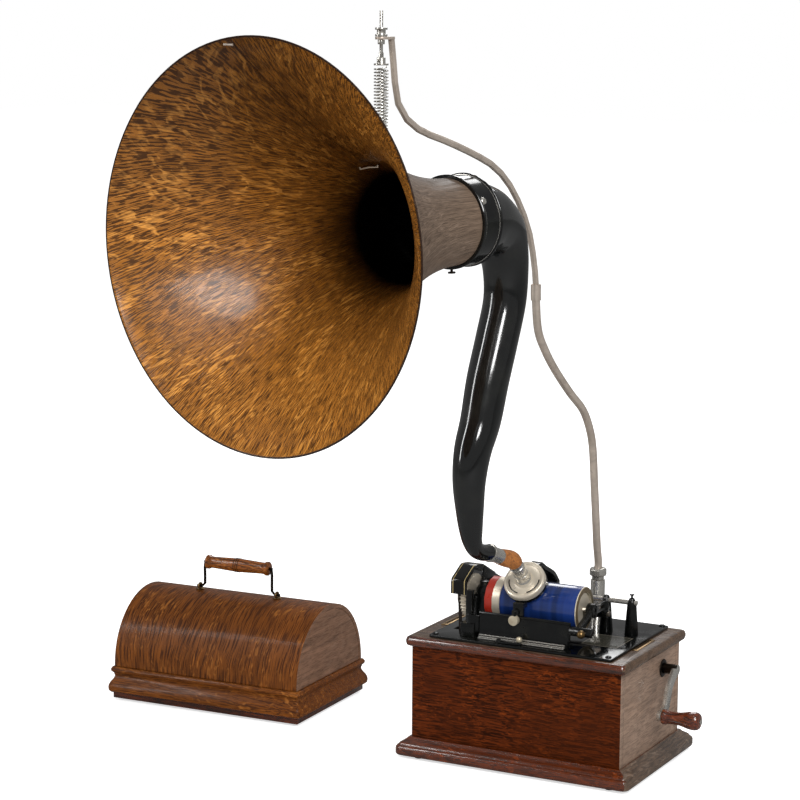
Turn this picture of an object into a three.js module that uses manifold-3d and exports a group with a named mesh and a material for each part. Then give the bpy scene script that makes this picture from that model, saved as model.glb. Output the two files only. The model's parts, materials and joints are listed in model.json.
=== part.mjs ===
// Cylinder phonograph: wooden case, feed-screw works, curved horn on its crane, and the lid beside it.
// Millimetres, +X right, +Y back, +Z up. The origin is the centre of the case's underside.
import * as THREE from 'three';
import { mergeVertices } from 'three/addons/utils/BufferGeometryUtils.js';
import Module from 'manifold-3d';

const wasm = await Module();
wasm.setup();

// Fits and counts of sides
const seatGap = 0.3;
const overrun = 2;
const weldDistance = 0.0001;
const fewSides = 6;
const someSides = 10;
const roundSides = 14;
const fineSides = 28;
const cornerSteps = 3;
const curveTension = 0.5;

// Case
const caseWidth = 288;
const caseDepth = 193;
const caseHeight = 141.8;
const caseWall = 12;
const bottomThickness = 8;
const footRadius = 6;
const footHeight = 4;
const footFromEnd = 12;
const footBehindFace = 1.5;
const mouldingReach = 18;
const mouldingHeight = 22.7;
const mouldingCorner = 10;
const topReach = 7.7;
const topThickness = 13;
const topEdge = 1.5;
const topCorner = 7;
const topRound = 5;
const latchSlotFromEnd = 19.2;
const latchSlotY = 1;
const latchSlotWidth = 3;
const latchSlotLength = 52;
const beltSlotWidth = 12;
const beltSlotSpare = 5;

// Bedplate
const bedLeft = -122;
const bedRight = 130;
const bedDepth = 190;
const bedThickness = 3.6;
const bedCorner = 4;

// Mandrel and record
const mandrelY = -30;
const mandrelAboveBed = 41;
const shaftRadius = 4;
const shaftFit = 0.3;
const recordLeft = -41.2;
const recordLength = 106.6;
const recordRadius = 28.6;
const recordBore = 22;
const recordEdge = 0.5;
const drumTaper = 0.4;
const drumRecess = 2.2;
const drumWall = 3.3;
const endPinRadius = 2.5;
const endPinLength = 9.8;
const flangeRadius = 29;
const flangeLength = 19.8;
const nickelBandLength = 9.5;
const nickelBandStep = 0.4;

// Gears at the left end of the works
const gearModule = 1.6;
const mandrelTeeth = 34;
const feedTeeth = 28;
const gearThickness = 8;
const gearLeft = -96;
const feedScrewBehind = 47.5;
const addendumShare = 0.8;
const dedendumShare = 1.1;
const toothRootShare = 0.62;
const toothTipShare = 0.26;

// Belt and its pulleys
const pulleyRadius = 18;
const pulleyGroove = 2;
const pulleyLip = 1;
const pulleyWidth = 6.8;
const pulleyGap = 1.8;
const beltThickness = 2;
const drivePulleyRadius = 12;
const drivePulleyDrop = 95;
const driveShaftRadius = 3;
const driveShaftLength = 70;
const drivePinionRadius = 7;
const drivePinionLength = 6;

// Feed screw and back rod
const feedThreadRadius = 5;
const feedThreadLeft = -66;
const feedThreadRight = 58;
const feedScrewEnd = 79;
const backRodRadius = 3.25;
const backRodBehind = 61;
const backRodRise = 0.2;
const backRodLeft = -83;
const backRodEnd = 111;

// Main frame casting
const frameRight = -64;
const frameLeft = -84.3;
const frameFront = -82;
const frameBack = 45;
const frameBaseHeight = 17;
const frameCorner = 3;
const bearingLeft = -81;
const bearingTopRadius = 17;
const bearingFootSpread = 3;
const oilCapRadius = 6;
const oilCapHeight = 4;
const oilCapX = -75;
const towerRight = -71;
const towerFront = 9;
const towerTopAbove = 10;
const towerRound = 6;
const columnRight = -76;
const columnDepth = 8;
const columnFront = -64;
const columnRise = 55;
const bracketRight = -59.3;
const bracketDepth = 6;
const bracketFront = -78;
const bracketTop = 28;
const bracketFoot = 6;

// Gear cover
const coverLeft = -107;
const coverWall = 1.5;
const coverFront = -62;
const coverFrontBottom = 48;
const coverKnee = 67;
const coverShoulder = 82;
const coverShoulderY = -33;
const coverApex = 79.5;
const coverApexY = -14;
const coverBack = 49;
const coverBackBottom = 48;

// Posts and their rod
const innerPostX = 68.8;
const outerPostX = 103.8;
const postBaseRadius = 9;
const postNeckRadius = 6.2;
const postShoulderHeight = 37;
const postHeight = 48;
const thumbStemRadius = 1.5;
const thumbStemDepth = 3;
const thumbHeadRadius = 3.2;
const thumbHeadThickness = 1.4;
const thumbRise = 4;
const feedBossRadius = 6.5;
const feedBossLeft = 62;
const feedBossRight = 76.5;
const bossArmLeft = 65;
const bossArmRight = 73;
const bossArmDepth = 9;

// End gate
const gatePinX = 76;
const gatePinBehind = 38;
const gatePinRadius = 2.2;
const gatePinFit = 0.3;
const gateLugBottom = 30.5;
const gateLugTop = 34.7;
const gateLugRadius = 5;
const gatePinTop = 49;
const knuckleRadius = 5;
const gateThickness = 6;
const gateBandHeight = 11;
const gateSlotHeight = 4;
const gateBossRadius = 9;
const gateBossLeft = 70.2;
const gateBossRight = 80;
const gatePinClearance = 0.6;
const gateBarrelAhead = 45;
const gateBarrelDrop = 17;
const gateBarrelRadius = 6;
const gateBarrelLeft = 66;
const gateBarrelRight = 95;
const gateArmHeight = 9;
const gateKnobX = 85;
const gateKnobRadius = 5.5;
const gateKnobNeck = 2.5;
const gateKnobReach = 11;

// Straight edge
const edgeLeft = -59;
const edgeRight = 65.7;
const edgeY = -75;
const edgeThickness = 3;
const edgeHeight = 30;
const edgeBottom = 4;
const edgeBeadRadius = 2.2;
const edgeRailDepth = 8;
const edgeRailRight = 62;

// Start lever
const startPivotX = -26;
const startLeverY = -88;
const startLeverLength = 28;
const startLeverWidth = 5;
const startLeverThickness = 2.4;
const startKnobRadius = 4;
const startKnobStem = 1.6;
const startKnobRise = 7;

// Carriage
const sleeveLeft = -38;
const sleeveLength = 36;
const sleeveRadius = 7;
const collarRadius = 9;
const collarLength = 5;
const sleeveFit = 0.3;
const nutBlockDepth = 9;
const nutBlockHeight = 8;
const armRingWall = 3.5;
const armRight = 0;
const armWidth = 14;
const armThickness = 5;
const armRingInner = 20;
const armRingThickness = 4;
const legWidth = 14;
const legThickness = 3.6;
const legHeight = 16;
const legBlockHeight = 6;
const legBlockBack = -64.5;
const legRight = 2;

// Lift lever
const liftPlateWidth = 9;
const liftPlateThickness = 2.4;
const liftKnobRadius = 6.5;
const liftKnobDepth = 6;
const liftKnobDrop = 9.5;
const liftPinRadius = 1.6;
const liftLeverX = -8;

// Reproducer
const reproducerX = -7;
const reproducerTilt = 46.2;
const reproducerOffAxis = 7.65;
const reproducerRadius = 27;
const reproducerThickness = 9;
const reproducerLip = 1.6;
const reproducerLipWidth = 4.5;
const neckRadius = 8.7;
const neckBore = 6;
const neckLength = 34;
const neckFlareRadius = 11;
const neckFlareHeight = 4;
const weightRadius = 19.2;
const weightThickness = 3;
const weightClearance = 1.3;
const weightHingeRadius = 1.2;
const weightHingeWidth = 8;
const weightHingeFit = 0.3;
const weightNotchWidth = 14;
const stylusLength = 3.3;
const stylusRadius = 1.5;
const stylusTip = 0.4;
const stylusGap = 0.3;

// Horn
const hornYaw = 10.67;
const hornPitch = 1.16;
const ferruleRadius = 9.6;
const ferruleBead = 11.4;
const ferruleBeadLength = 4;
const ferruleBore = 7.6;
const connectorReach = 19.5;
const connectorRise = 11.5;
const connectorWall = 3;
const connectorBend = 9;
const ferruleReach = 31.4;
const ferruleRise = 12.4;
const elbowRise = 413.4;
const elbowWall = 1.8;
const collarBandRadius = 54;
const collarBandBead = 56;
const collarBandLength = 35.5;
const collarBandBeadLength = 3;
const throatRadius = 52;
const bellRadius = 226.7;
const bellLength = 335;
const bellWall = 3.2;
const bellRim = 2.4;
const flarePower = 1.9;

// Horn suspension
const loopBehindMouth = 211.3;
const loopRadius = 8;
const loopWire = 1.5;
const loopStand = 17.5;
const hookRadius = 4.5;
const hookWire = 1.2;
const hookDrop = 0.8;
const hookStem = 7;
const hookOpening = 36;
const springRadius = 8.5;
const springWire = 0.9;
const springTurns = 21;
const springPitch = 3.6;
const springSteps = 8;
const springSides = 5;
const springEndWires = 6;
const springSeatThickness = 2;
const couplingRadius = 5;
const couplingHeight = 8.7;
const pivotHeight = 6.7;
const pivotPinRadius = 1.2;
const tongueThickness = 2.4;
const tongueRadius = 3;
const hangerRodRadius = 2;
const hangerRodLength = 51;
const hangerCollarRadius = 4;
const hangerCollarHeight = 5;
const hangerTabAbove = 16;
const hangerTabThickness = 3;
const hangerTabRadius = 7;
const hangerNutRadius = 7;
const hangerNutWaist = 5;
const hangerNutHeight = 10;

// Crane
const craneX = 20.2;
const craneBehindCase = 19.5;
const craneTubeRadius = 5.15;
const craneUpperRadius = 4.25;
const socketRadius = 9.5;
const socketAboveBracket = 6;
const socketTopAboveBed = 44;
const socketDepth = 130;
const bracketPlateWidth = 32;
const bracketPlateThickness = 4;
const bracketPlateHeight = 78;
const bracketBelowTop = 3.8;
const bracketLugWidth = 12;
const bracketLugHeight = 16;
const craneNutRadius = 11.3;
const craneNutHeight = 15.7;
const craneNutWaist = 8;
const craneSleeveRadius = 6.6;
const craneSleeveLength = 16;
const craneJointShare = 0.49;

// Crank
const crankY = 40;
const crankBelowTop = 23.8;
const crankShaftRadius = 5;
const crankShaftFit = 0.6;
const crankShaftSpare = 4;
const crankHubRadius = 6.5;
const crankHubLength = 14.7;
const crankArmThickness = 6;
const crankArmWidth = 11;
const crankReach = 69.6;
const crankArmAngle = 223;
const crankSway = 9;
const gripPinRadius = 3;
const gripFit = 0.35;
const gripLength = 50.5;
const gripFlangeRadius = 9.5;
const gripBulbRadius = 11.6;
const gripScrewRadius = 3.6;
const gripScrewThickness = 0.9;

// Spring motor
const motorModule = 2.1;
const crankPinionTeeth = 14;
const windingTeeth = 36;
const motorMeshAngle = 228.1;
const windingGearLeft = 70;
const windingGearThickness = 8;
const barrelRadius = 35;
const barrelLeft = -30;
const barrelRight = 62;
const barrelArborRadius = 5;
const motorPlateLeft = -45;
const motorPlateRight = 84;
const motorPlateThickness = 3;
const motorPlateFront = -46;
const motorPlateBack = 60;
const motorPlateBottom = 36;
const motorFlange = 12;
const pillarRadius = 3.5;
const pillarInset = 8;
const plateHoleFit = 0.3;
const governorY = 52;
const governorZ = 72;
const governorShaftRadius = 2.5;
const governorBallRadius = 4;
const governorBallOffset = 6.5;
const governorHubLength = 40;
const governorHubRadius = 3.8;

// Lid beside the machine
const lidX = -483.4;
const lidY = 32.6;
const lidYaw = 1.89;
const lidRimBottom = 3.5;
const lidRimHeight = 44.1;
const lidRimWall = 19.8;
const lidRimWallSide = 17;
const lidWallInset = 9;
const lidRimCorner = 8;
const vaultWall = 6;
const vaultRise = 2.4;
const lidEndThickness = 10;
const latchPlateWidth = 26;
const latchPlateThickness = 2;
const latchPlateHeight = 22;
const latchPlateOffset = 3.8;
const eyeFromCentre = 61;
const eyeAbove = 5;
const eyeRadius = 3.8;
const eyeWire = 1.2;
const eyePlateRadius = 6;
const eyePlateThickness = 1.2;
const bailWire = 2;
const bailHeight = 35.5;
const bailArmX = 53.2;
const bailHookOut = 4.5;
const bailCornerRadius = 2.4;
const lidGripLength = 99;
const lidGripRadius = 9.9;
const lidGripFit = 0.35;

// Heights and places that follow from the sizes above
const mouldingWidth = caseWidth + mouldingReach * 2;
const mouldingDepth = caseDepth + mouldingReach * 2;
const topWidth = caseWidth + topReach * 2;
const topDepth = caseDepth + topReach * 2;
const latchSlotX = topWidth / 2 - latchSlotFromEnd;
const bracketPlateTop = caseHeight - bracketBelowTop;
const bracketPlateBottom = bracketPlateTop - bracketPlateHeight;
const socketBottom = bracketPlateBottom + socketAboveBracket;
const topBottom = caseHeight + seatGap;
const bedBottom = topBottom + topThickness + seatGap;
const bedTop = bedBottom + bedThickness;
const deck = bedTop + seatGap;
const mandrelZ = bedTop + mandrelAboveBed;
const meshDistance = gearModule * (mandrelTeeth + feedTeeth) / 2;
const feedY = mandrelY + feedScrewBehind;
const feedZ = mandrelZ - Math.sqrt(meshDistance ** 2 - feedScrewBehind ** 2);
const rodY = mandrelY + backRodBehind;
const rodZ = mandrelZ + backRodRise;
const recordRight = recordLeft + recordLength;
const drumRight = recordRight - drumRecess;
const pulleyLeft = gearLeft - pulleyGap - pulleyWidth;
const gateY = mandrelY + gatePinBehind;
const barrelY = mandrelY - gateBarrelAhead;
const barrelZ = mandrelZ - gateBarrelDrop;
const crankZ = caseHeight - crankBelowTop;
const crankArmLeft = caseWidth / 2 + seatGap + crankHubLength;
const motorDistance = motorModule * (crankPinionTeeth + windingTeeth) / 2;
const motorAngle = THREE.MathUtils.degToRad(motorMeshAngle);
const arborY = crankY + motorDistance * Math.cos(motorAngle);
const arborZ = crankZ + motorDistance * Math.sin(motorAngle);
const drivePulleyZ = mandrelZ - drivePulleyDrop;
const motorPlateTop = caseHeight;

// Outlines as shares of the size that each one follows
const mouldingShares = [
  [0.1, 0], [0, 0.1], [0, 0.4], [0.05, 0.5], [0.16, 0.57], [0.24, 0.59], [0.26, 0.66], [0.48, 0.76],
  [0.72, 0.88], [0.84, 1],
];
const lidRimShares = [
  [0.78, 0], [0.78, 0.18], [0.4, 0.19], [0.08, 0.24], [0, 0.33], [0.09, 0.42], [0.36, 0.51],
  [0.8, 0.61], [0.97, 0.7], [0.84, 0.8], [0.5, 0.86], [0.42, 0.92], [0.72, 1],
];
const elbowShares = [
  [0, 0, 0.215], [-0.033, 0.006, 0.215], [-0.062, 0.02, 0.22], [-0.08, 0.045, 0.25],
  [-0.089, 0.081, 0.3], [-0.096, 0.144, 0.36], [-0.1, 0.233, 0.427], [-0.084, 0.32, 0.479],
  [-0.047, 0.405, 0.52], [-0.014, 0.519, 0.545], [0.028, 0.634, 0.548], [0.066, 0.748, 0.55],
  [0.069, 0.838, 0.583], [0.055, 0.9, 0.646], [0.022, 0.955, 0.75], [-0.037, 0.987, 0.875],
  [-0.09, 0.997, 0.955], [-0.1295, 1, 1],
];
const cranePathShares = [
  [0, -0.09], [0, 0], [0, 0.02], [0, 0.036], [0.008, 0.066], [0.016, 0.116], [0.027, 0.182],
  [0.038, 0.248], [0.055, 0.287], [0.092, 0.327], [0.158, 0.364], [0.232, 0.411], [0.282, 0.45],
  [0.316, 0.488], [0.328, 0.542], [0.33, 0.576], [0.339, 0.606], [0.355, 0.649], [0.389, 0.694],
  [0.445, 0.74], [0.5, 0.772], [0.589, 0.799], [0.718, 0.827], [0.843, 0.851], [0.903, 0.872],
  [0.932, 0.893], [0.945, 0.933], [0.956, 0.981], [0.961, 1],
];
const crankGripWaistShare = 0.5;
const crankGripShares = [
  [0, 0.9], [0.03, 1], [0.1, 0.98], [0.17, 0.89], [0.24, 0.85], [0.34, 0.83], [0.5, 0.76],
  [0.62, 0.9], [0.74, 1], [0.84, 0.96], [0.93, 0.78], [1, 0.45],
];
const lidGripShares = [
  [0, 0.8], [0.015, 1], [0.045, 1], [0.07, 0.84], [0.12, 0.82], [0.22, 0.86], [0.32, 0.91],
  [0.42, 0.95], [0.47, 0.97], [0.5, 0.97],
];
const crankSwayShares = [
  [0, 0], [0.22, -0.3], [0.42, -0.25], [0.62, 0.45], [0.76, 0.8], [0.9, 0.5], [1, 0],
];
const postDomeShares = [
  [1, 0], [0.86, 0.45], [0.54, 0.86], [0, 1],
];
const topRoundShares = [
  [1, 0], [0.29, 0.29], [0, 1],
];

// Solids and meshes
function toSolid(geometry) {
  const bare = geometry.clone();
  bare.deleteAttribute('normal');
  bare.deleteAttribute('uv');
  const merged = mergeVertices(bare, weldDistance);
  const indices = merged.index.array;
  const kept = [];
  for (let i = 0; i < indices.length; i += 3) {
    const corners = [indices[i], indices[i + 1], indices[i + 2]];
    if (new Set(corners).size === corners.length) {
      kept.push(...corners);
    }
  }
  const vertProperties = new Float32Array(merged.getAttribute('position').array);
  return new wasm.Manifold(new wasm.Mesh({ numProp: 3, vertProperties, triVerts: new Uint32Array(kept) }));
}

function toGeometry(solid) {
  const mesh = solid.getMesh();
  const geometry = new THREE.BufferGeometry();
  geometry.setAttribute('position', new THREE.BufferAttribute(mesh.vertProperties, 3));
  geometry.setIndex(new THREE.BufferAttribute(mesh.triVerts, 1));
  geometry.computeVertexNormals();
  return geometry;
}

function join(first, ...others) {
  let solid = toSolid(first);
  for (const other of others) {
    solid = solid.add(toSolid(other));
  }
  return toGeometry(solid);
}

function cut(whole, ...tools) {
  let solid = toSolid(whole);
  for (const tool of tools) {
    solid = solid.subtract(toSolid(tool));
  }
  return toGeometry(solid);
}

// A closed mesh is turned right side out by the sign of its volume
function facingOut(geometry) {
  const position = geometry.getAttribute('position');
  const index = geometry.index;
  const [a, b, c] = [new THREE.Vector3(), new THREE.Vector3(), new THREE.Vector3()];
  let volume = 0;
  for (let i = 0; i < index.count; i += 3) {
    a.fromBufferAttribute(position, index.getX(i));
    b.fromBufferAttribute(position, index.getX(i + 1));
    c.fromBufferAttribute(position, index.getX(i + 2));
    volume += a.dot(b.cross(c));
  }
  if (volume < 0) {
    const corners = index.array;
    for (let i = 0; i < corners.length; i += 3) {
      [corners[i], corners[i + 1]] = [corners[i + 1], corners[i]];
    }
    geometry.computeVertexNormals();
  }
  return geometry;
}

// Frames that lay a flat outline or a turned profile along each axis
const alongX = new THREE.Matrix4().makeBasis(
  new THREE.Vector3(0, 1, 0), new THREE.Vector3(0, 0, 1), new THREE.Vector3(1, 0, 0));
const alongY = new THREE.Matrix4().makeBasis(
  new THREE.Vector3(0, 0, 1), new THREE.Vector3(1, 0, 0), new THREE.Vector3(0, 1, 0));
const alongZ = new THREE.Matrix4();
const latheToZ = new THREE.Matrix4().makeRotationX(Math.PI / 2);

function box(x0, x1, y0, y1, z0, z1) {
  const geometry = new THREE.BoxGeometry(x1 - x0, y1 - y0, z1 - z0);
  return geometry.translate((x0 + x1) / 2, (y0 + y1) / 2, (z0 + z1) / 2);
}

function outline(points) {
  return new THREE.Shape(points.map(([x, y]) => new THREE.Vector2(x, y)));
}

function arc(x, y, radius, from, to, steps) {
  const points = [];
  for (let i = 0; i <= steps; i += 1) {
    const angle = from + (to - from) * i / steps;
    points.push([x + radius * Math.cos(angle), y + radius * Math.sin(angle)]);
  }
  return points;
}

function circle(x, y, radius, sides) {
  return arc(x, y, radius, 0, Math.PI * 2 * (sides - 1) / sides, sides - 1);
}

function roundedOutline(x0, x1, y0, y1, radius) {
  const quarter = Math.PI / 2;
  return [
    ...arc(x1 - radius, y1 - radius, radius, 0, quarter, cornerSteps),
    ...arc(x0 + radius, y1 - radius, radius, quarter, Math.PI, cornerSteps),
    ...arc(x0 + radius, y0 + radius, radius, Math.PI, Math.PI + quarter, cornerSteps),
    ...arc(x1 - radius, y0 + radius, radius, Math.PI + quarter, Math.PI * 2, cornerSteps),
  ];
}

// An outline in the plane across an axis, from one place on that axis to another
function plate(frame, points, from, to, holes = []) {
  const shape = outline(points);
  shape.holes.push(...holes.map(outline));
  const geometry = new THREE.ExtrudeGeometry(shape, { depth: to - from, bevelEnabled: false });
  geometry.translate(0, 0, from);
  return geometry.applyMatrix4(frame);
}

function rod(frame, across, up, radius, from, to, sides = someSides) {
  return plate(frame, circle(across, up, radius, sides), from, to);
}

// A hole's flats clear the radius, so its corners lie further out
function holeRadius(radius, sides) {
  return radius / Math.cos(Math.PI / sides);
}

function hole(frame, across, up, radius, from, to, sides = someSides) {
  return rod(frame, across, up, holeRadius(radius, sides), from, to, sides);
}

// A turned piece: profile rows are [radius, place along the axis]
function turned(frame, across, up, profile, sides) {
  const points = profile.map(([radius, along]) => new THREE.Vector2(radius, along));
  const geometry = new THREE.LatheGeometry(points, sides);
  geometry.deleteAttribute('normal');
  geometry.deleteAttribute('uv');
  const merged = facingOut(mergeVertices(geometry, weldDistance));
  merged.applyMatrix4(latheToZ);
  merged.translate(across, up, 0);
  return toGeometry(toSolid(merged.applyMatrix4(frame)));
}

// A tube of one radius along points in space
function tube(points, radius, sides, steps, tension = curveTension) {
  const path = new THREE.CatmullRomCurve3(points, false, 'catmullrom', tension);
  const shape = outline(circle(0, 0, radius, sides));
  return new THREE.ExtrudeGeometry(shape, { steps, extrudePath: path, bevelEnabled: false });
}

// Rings of points skinned in order, with flat ends, or joined last to first
function skin(rings, closed) {
  const count = rings[0].length;
  const positions = rings.flat().flatMap((point) => [point.x, point.y, point.z]);
  const indices = [];
  const spans = closed ? rings.length : rings.length - 1;
  for (let ring = 0; ring < spans; ring += 1) {
    const here = ring * count;
    const there = ((ring + 1) % rings.length) * count;
    for (let i = 0; i < count; i += 1) {
      const next = (i + 1) % count;
      indices.push(here + i, here + next, there + next, here + i, there + next, there + i);
    }
  }
  if (!closed) {
    const last = (rings.length - 1) * count;
    for (let i = 1; i < count - 1; i += 1) {
      indices.push(0, i + 1, i, last, last + i, last + i + 1);
    }
  }
  const geometry = new THREE.BufferGeometry();
  geometry.setAttribute('position', new THREE.Float32BufferAttribute(positions, 3));
  geometry.setIndex(indices);
  return facingOut(geometry);
}

function ringAt(centre, across, up, radius, sides) {
  const ring = [];
  for (let i = 0; i < sides; i += 1) {
    const angle = Math.PI * 2 * i / sides;
    const point = centre.clone().addScaledVector(across, radius * Math.cos(angle));
    ring.push(point.addScaledVector(up, radius * Math.sin(angle)));
  }
  return ring;
}

// A hollow tube whose path lies in the plane across one fixed direction
function hollowTube(centres, radii, wall, across, startAxis, endAxis, sides) {
  const outside = [];
  const inside = [];
  centres.forEach((centre, i) => {
    const inner = i > 0 && i < centres.length - 1;
    const axis = inner ? new THREE.Vector3().subVectors(centres[i + 1],
      centres[i - 1]) : (i ? endAxis : startAxis);
    const up = axis.clone().cross(across).normalize();
    outside.push(ringAt(centre, across, up, radii[i], sides));
    inside.unshift(ringAt(centre, across, up, radii[i] - wall, sides));
  });
  return skin([...outside, ...inside], true);
}

// A block with rounded corners whose edge follows rows of [inset, height]
function mouldedBlock(width, depth, corner, smallest, rows) {
  const rings = rows.map(([inset, height]) => {
    const radius = Math.max(corner - inset, smallest);
    const [x, y] = [width / 2 - inset, depth / 2 - inset];
    return roundedOutline(-x, x, -y, y, radius).map(([px, py]) => new THREE.Vector3(px, py, height));
  });
  return skin(rings, false);
}

function gearOutline(teeth, module, across, up, phase) {
  const pitch = Math.PI * 2 / teeth;
  const root = module * (teeth / 2 - dedendumShare);
  const tip = module * (teeth / 2 + addendumShare);
  const points = [];
  for (let i = 0; i < teeth; i += 1) {
    const middle = phase + pitch * i;
    const rootHalf = pitch * toothRootShare / 2;
    const tipHalf = pitch * toothTipShare / 2;
    const corners = [[root, -rootHalf], [tip, -tipHalf], [tip, tipHalf], [root, rootHalf]];
    for (const [radius, turn] of corners) {
      points.push([across + radius * Math.cos(middle + turn), up + radius * Math.sin(middle + turn)]);
    }
  }
  return points;
}

// A band of one thickness along a flat curve
function band(points, thickness, steps) {
  const curve = new THREE.SplineCurve(points.map(([x, y]) => new THREE.Vector2(x, y)));
  const near = [];
  const far = [];
  for (let i = 0; i <= steps; i += 1) {
    const point = curve.getPointAt(i / steps);
    const tangent = curve.getTangentAt(i / steps);
    near.push([point.x - tangent.y * thickness / 2, point.y + tangent.x * thickness / 2]);
    far.unshift([point.x + tangent.y * thickness / 2, point.y - tangent.x * thickness / 2]);
  }
  return [...near, ...far];
}

// Two circles and the straight sides that touch both
function strap(first, firstRadius, second, secondRadius, steps) {
  const [dx, dy] = [second[0] - first[0], second[1] - first[1]];
  const heading = Math.atan2(dy, dx);
  const lean = Math.acos((firstRadius - secondRadius) / Math.hypot(dx, dy));
  return [
    ...arc(first[0], first[1], firstRadius, heading + lean, heading + Math.PI * 2 - lean, steps),
    ...arc(second[0], second[1], secondRadius, heading - lean, heading + lean, steps),
  ];
}

// Materials
function finish(color, roughness, metalness) {
  return new THREE.MeshStandardMaterial({ color, roughness, metalness });
}

const oak = finish(0x6b3a1c, 0.45, 0);
const lidOak = finish(0x9a6a3a, 0.5, 0);
const blackIron = finish(0x0b0b0d, 0.22, 0);
const blackEnamel = finish(0x101012, 0.15, 0);
const nickel = finish(0xc9c3b4, 0.25, 1);
const steel = finish(0x9b9a96, 0.3, 1);
const brass = finish(0xb98b3e, 0.3, 1);
const celluloid = finish(0x1a2350, 0.2, 0);
const gum = finish(0x9c5a26, 0.8, 0);
const leatherBelt = finish(0x4a3020, 0.8, 0);
const darkWood = finish(0x3a1710, 0.35, 0);
const hornOak = finish(0xa9743a, 0.4, 0);

const phonograph = new THREE.Group();

function add(group, name, geometry, material) {
  const mesh = new THREE.Mesh(geometry, material);
  mesh.name = name;
  group.add(mesh);
  return mesh;
}

// Case boards, bottom, moulding and feet
function makeCase() {
  const halfWidth = caseWidth / 2;
  const halfDepth = caseDepth / 2;
  const innerY = halfDepth - caseWall;
  const innerX = halfWidth - caseWall;
  add(phonograph, 'case_front', box(-halfWidth, halfWidth, -halfDepth, -innerY, 0, caseHeight), oak);
  add(phonograph, 'case_back', box(-halfWidth, halfWidth, innerY, halfDepth, 0, caseHeight), oak);
  const sideY = innerY - seatGap;
  add(phonograph, 'case_left', box(-halfWidth, -innerX, -sideY, sideY, 0, caseHeight), oak);
  const right = box(innerX, halfWidth, -sideY, sideY, 0, caseHeight);
  const crankHole = hole(alongX, crankY, crankZ, crankShaftRadius + crankShaftFit, innerX - overrun,
    halfWidth + overrun);
  add(phonograph, 'case_right', cut(right, crankHole), oak);
  const bottomX = innerX - seatGap;
  add(phonograph, 'bottom_board', box(-bottomX, bottomX, -sideY, sideY, 0, bottomThickness), oak);

  const outset = (mouldingDepth - caseDepth) / 2 - seatGap;
  const rows = mouldingShares.map(([inset, height]) => [inset * outset, height * mouldingHeight]);
  const solid = mouldedBlock(mouldingWidth, mouldingDepth, mouldingCorner, topEdge, rows);
  const well = box(-halfWidth - seatGap, halfWidth + seatGap, -halfDepth - seatGap, halfDepth + seatGap,
    -overrun, mouldingHeight + overrun);
  add(phonograph, 'base_moulding', cut(solid, well), oak);

  let footNumber = 1;
  for (const sideX of [-1, 1]) {
    for (const side of [-1, 1]) {
      const foot = rod(alongZ, sideX * (halfWidth - footFromEnd), side * (halfDepth + footBehindFace),
        footRadius,
        -footHeight, 0);
      add(phonograph, `foot_${footNumber}`, foot, blackIron);
      footNumber += 1;
    }
  }
}

function beltSlot(bottom, top) {
  const middle = pulleyLeft + pulleyWidth / 2;
  const half = pulleyRadius + beltSlotSpare;
  return box(middle - beltSlotWidth / 2, middle + beltSlotWidth / 2, mandrelY - half, mandrelY + half,
    bottom - overrun, top + overrun);
}

// Top board with its latch and belt slots, and the bedplate
function makeDeck() {
  const top = topBottom + topThickness;
  const lower = topRoundShares.map(([inset, rise]) => [inset * topRound, topBottom + rise * topRound]);
  const upper = topRoundShares.map(([inset, rise]) => [inset * topRound, top - rise * topRound]);
  const board = mouldedBlock(topWidth, topDepth, topCorner, topEdge, [...lower, ...upper.reverse()]);
  const slots = [-latchSlotX, latchSlotX].map((x) => box(x - latchSlotWidth / 2, x + latchSlotWidth / 2,
    latchSlotY - latchSlotLength / 2, latchSlotY + latchSlotLength / 2, topBottom - overrun,
      top + overrun));
  add(phonograph, 'top_board', cut(board, ...slots, beltSlot(topBottom, top)), oak);
  const bed = plate(alongZ, roundedOutline(bedLeft, bedRight, -bedDepth / 2, bedDepth / 2, bedCorner),
    bedBottom, bedTop);
  add(phonograph, 'bedplate', cut(bed, beltSlot(bedBottom, bedTop)), blackIron);
}

// Main frame: base block, mandrel bearing, rear tower, front column and the straight edge's bracket
function makeMainFrame() {
  const baseTop = deck + frameBaseHeight;
  const base = plate(alongZ, roundedOutline(frameLeft, frameRight, frameFront, frameBack, frameCorner),
    deck, baseTop);
  const sunk = baseTop - overrun;
  const foot = bearingTopRadius + bearingFootSpread;
  const bearing = plate(alongX, [[mandrelY + foot, sunk],
    ...arc(mandrelY, mandrelZ, bearingTopRadius, 0, Math.PI, someSides), [mandrelY - foot, sunk]],
    bearingLeft, frameRight);
  const towerTop = rodZ + towerTopAbove;
  const tower = plate(alongX, [[frameBack, sunk],
    ...arc(frameBack - towerRound, towerTop - towerRound, towerRound, 0, Math.PI / 2, cornerSteps),
    ...arc(towerFront + towerRound, towerTop - towerRound, towerRound, Math.PI / 2, Math.PI, cornerSteps),
    [towerFront, sunk]], frameLeft, towerRight);
  const column = box(frameLeft, columnRight, columnFront, columnFront + columnDepth, sunk,
    deck + columnRise);
  const bracket = box(frameRight - overrun, bracketRight, bracketFront, bracketFront + bracketDepth,
    deck + bracketFoot, deck + bracketTop);
  const bracketRoot = box(columnRight, frameRight, bracketFront, bracketFront + bracketDepth, sunk,
    deck + bracketTop);
  const cap = rod(alongZ, oilCapX, mandrelY, oilCapRadius, mandrelZ + bearingTopRadius - overrun,
    mandrelZ + bearingTopRadius + oilCapHeight);
  const whole = join(base, bearing, tower, column, bracket, bracketRoot, cap);
  const from = frameLeft - overrun;
  const to = frameRight + overrun;
  const bores = [
    hole(alongX, mandrelY, mandrelZ, shaftRadius + shaftFit, from, to),
    hole(alongX, feedY, feedZ, shaftRadius + shaftFit, from, to),
    hole(alongX, rodY, rodZ, backRodRadius + seatGap, from, to),
  ];
  add(phonograph, 'main_frame', cut(whole, ...bores), blackIron);
}

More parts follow.
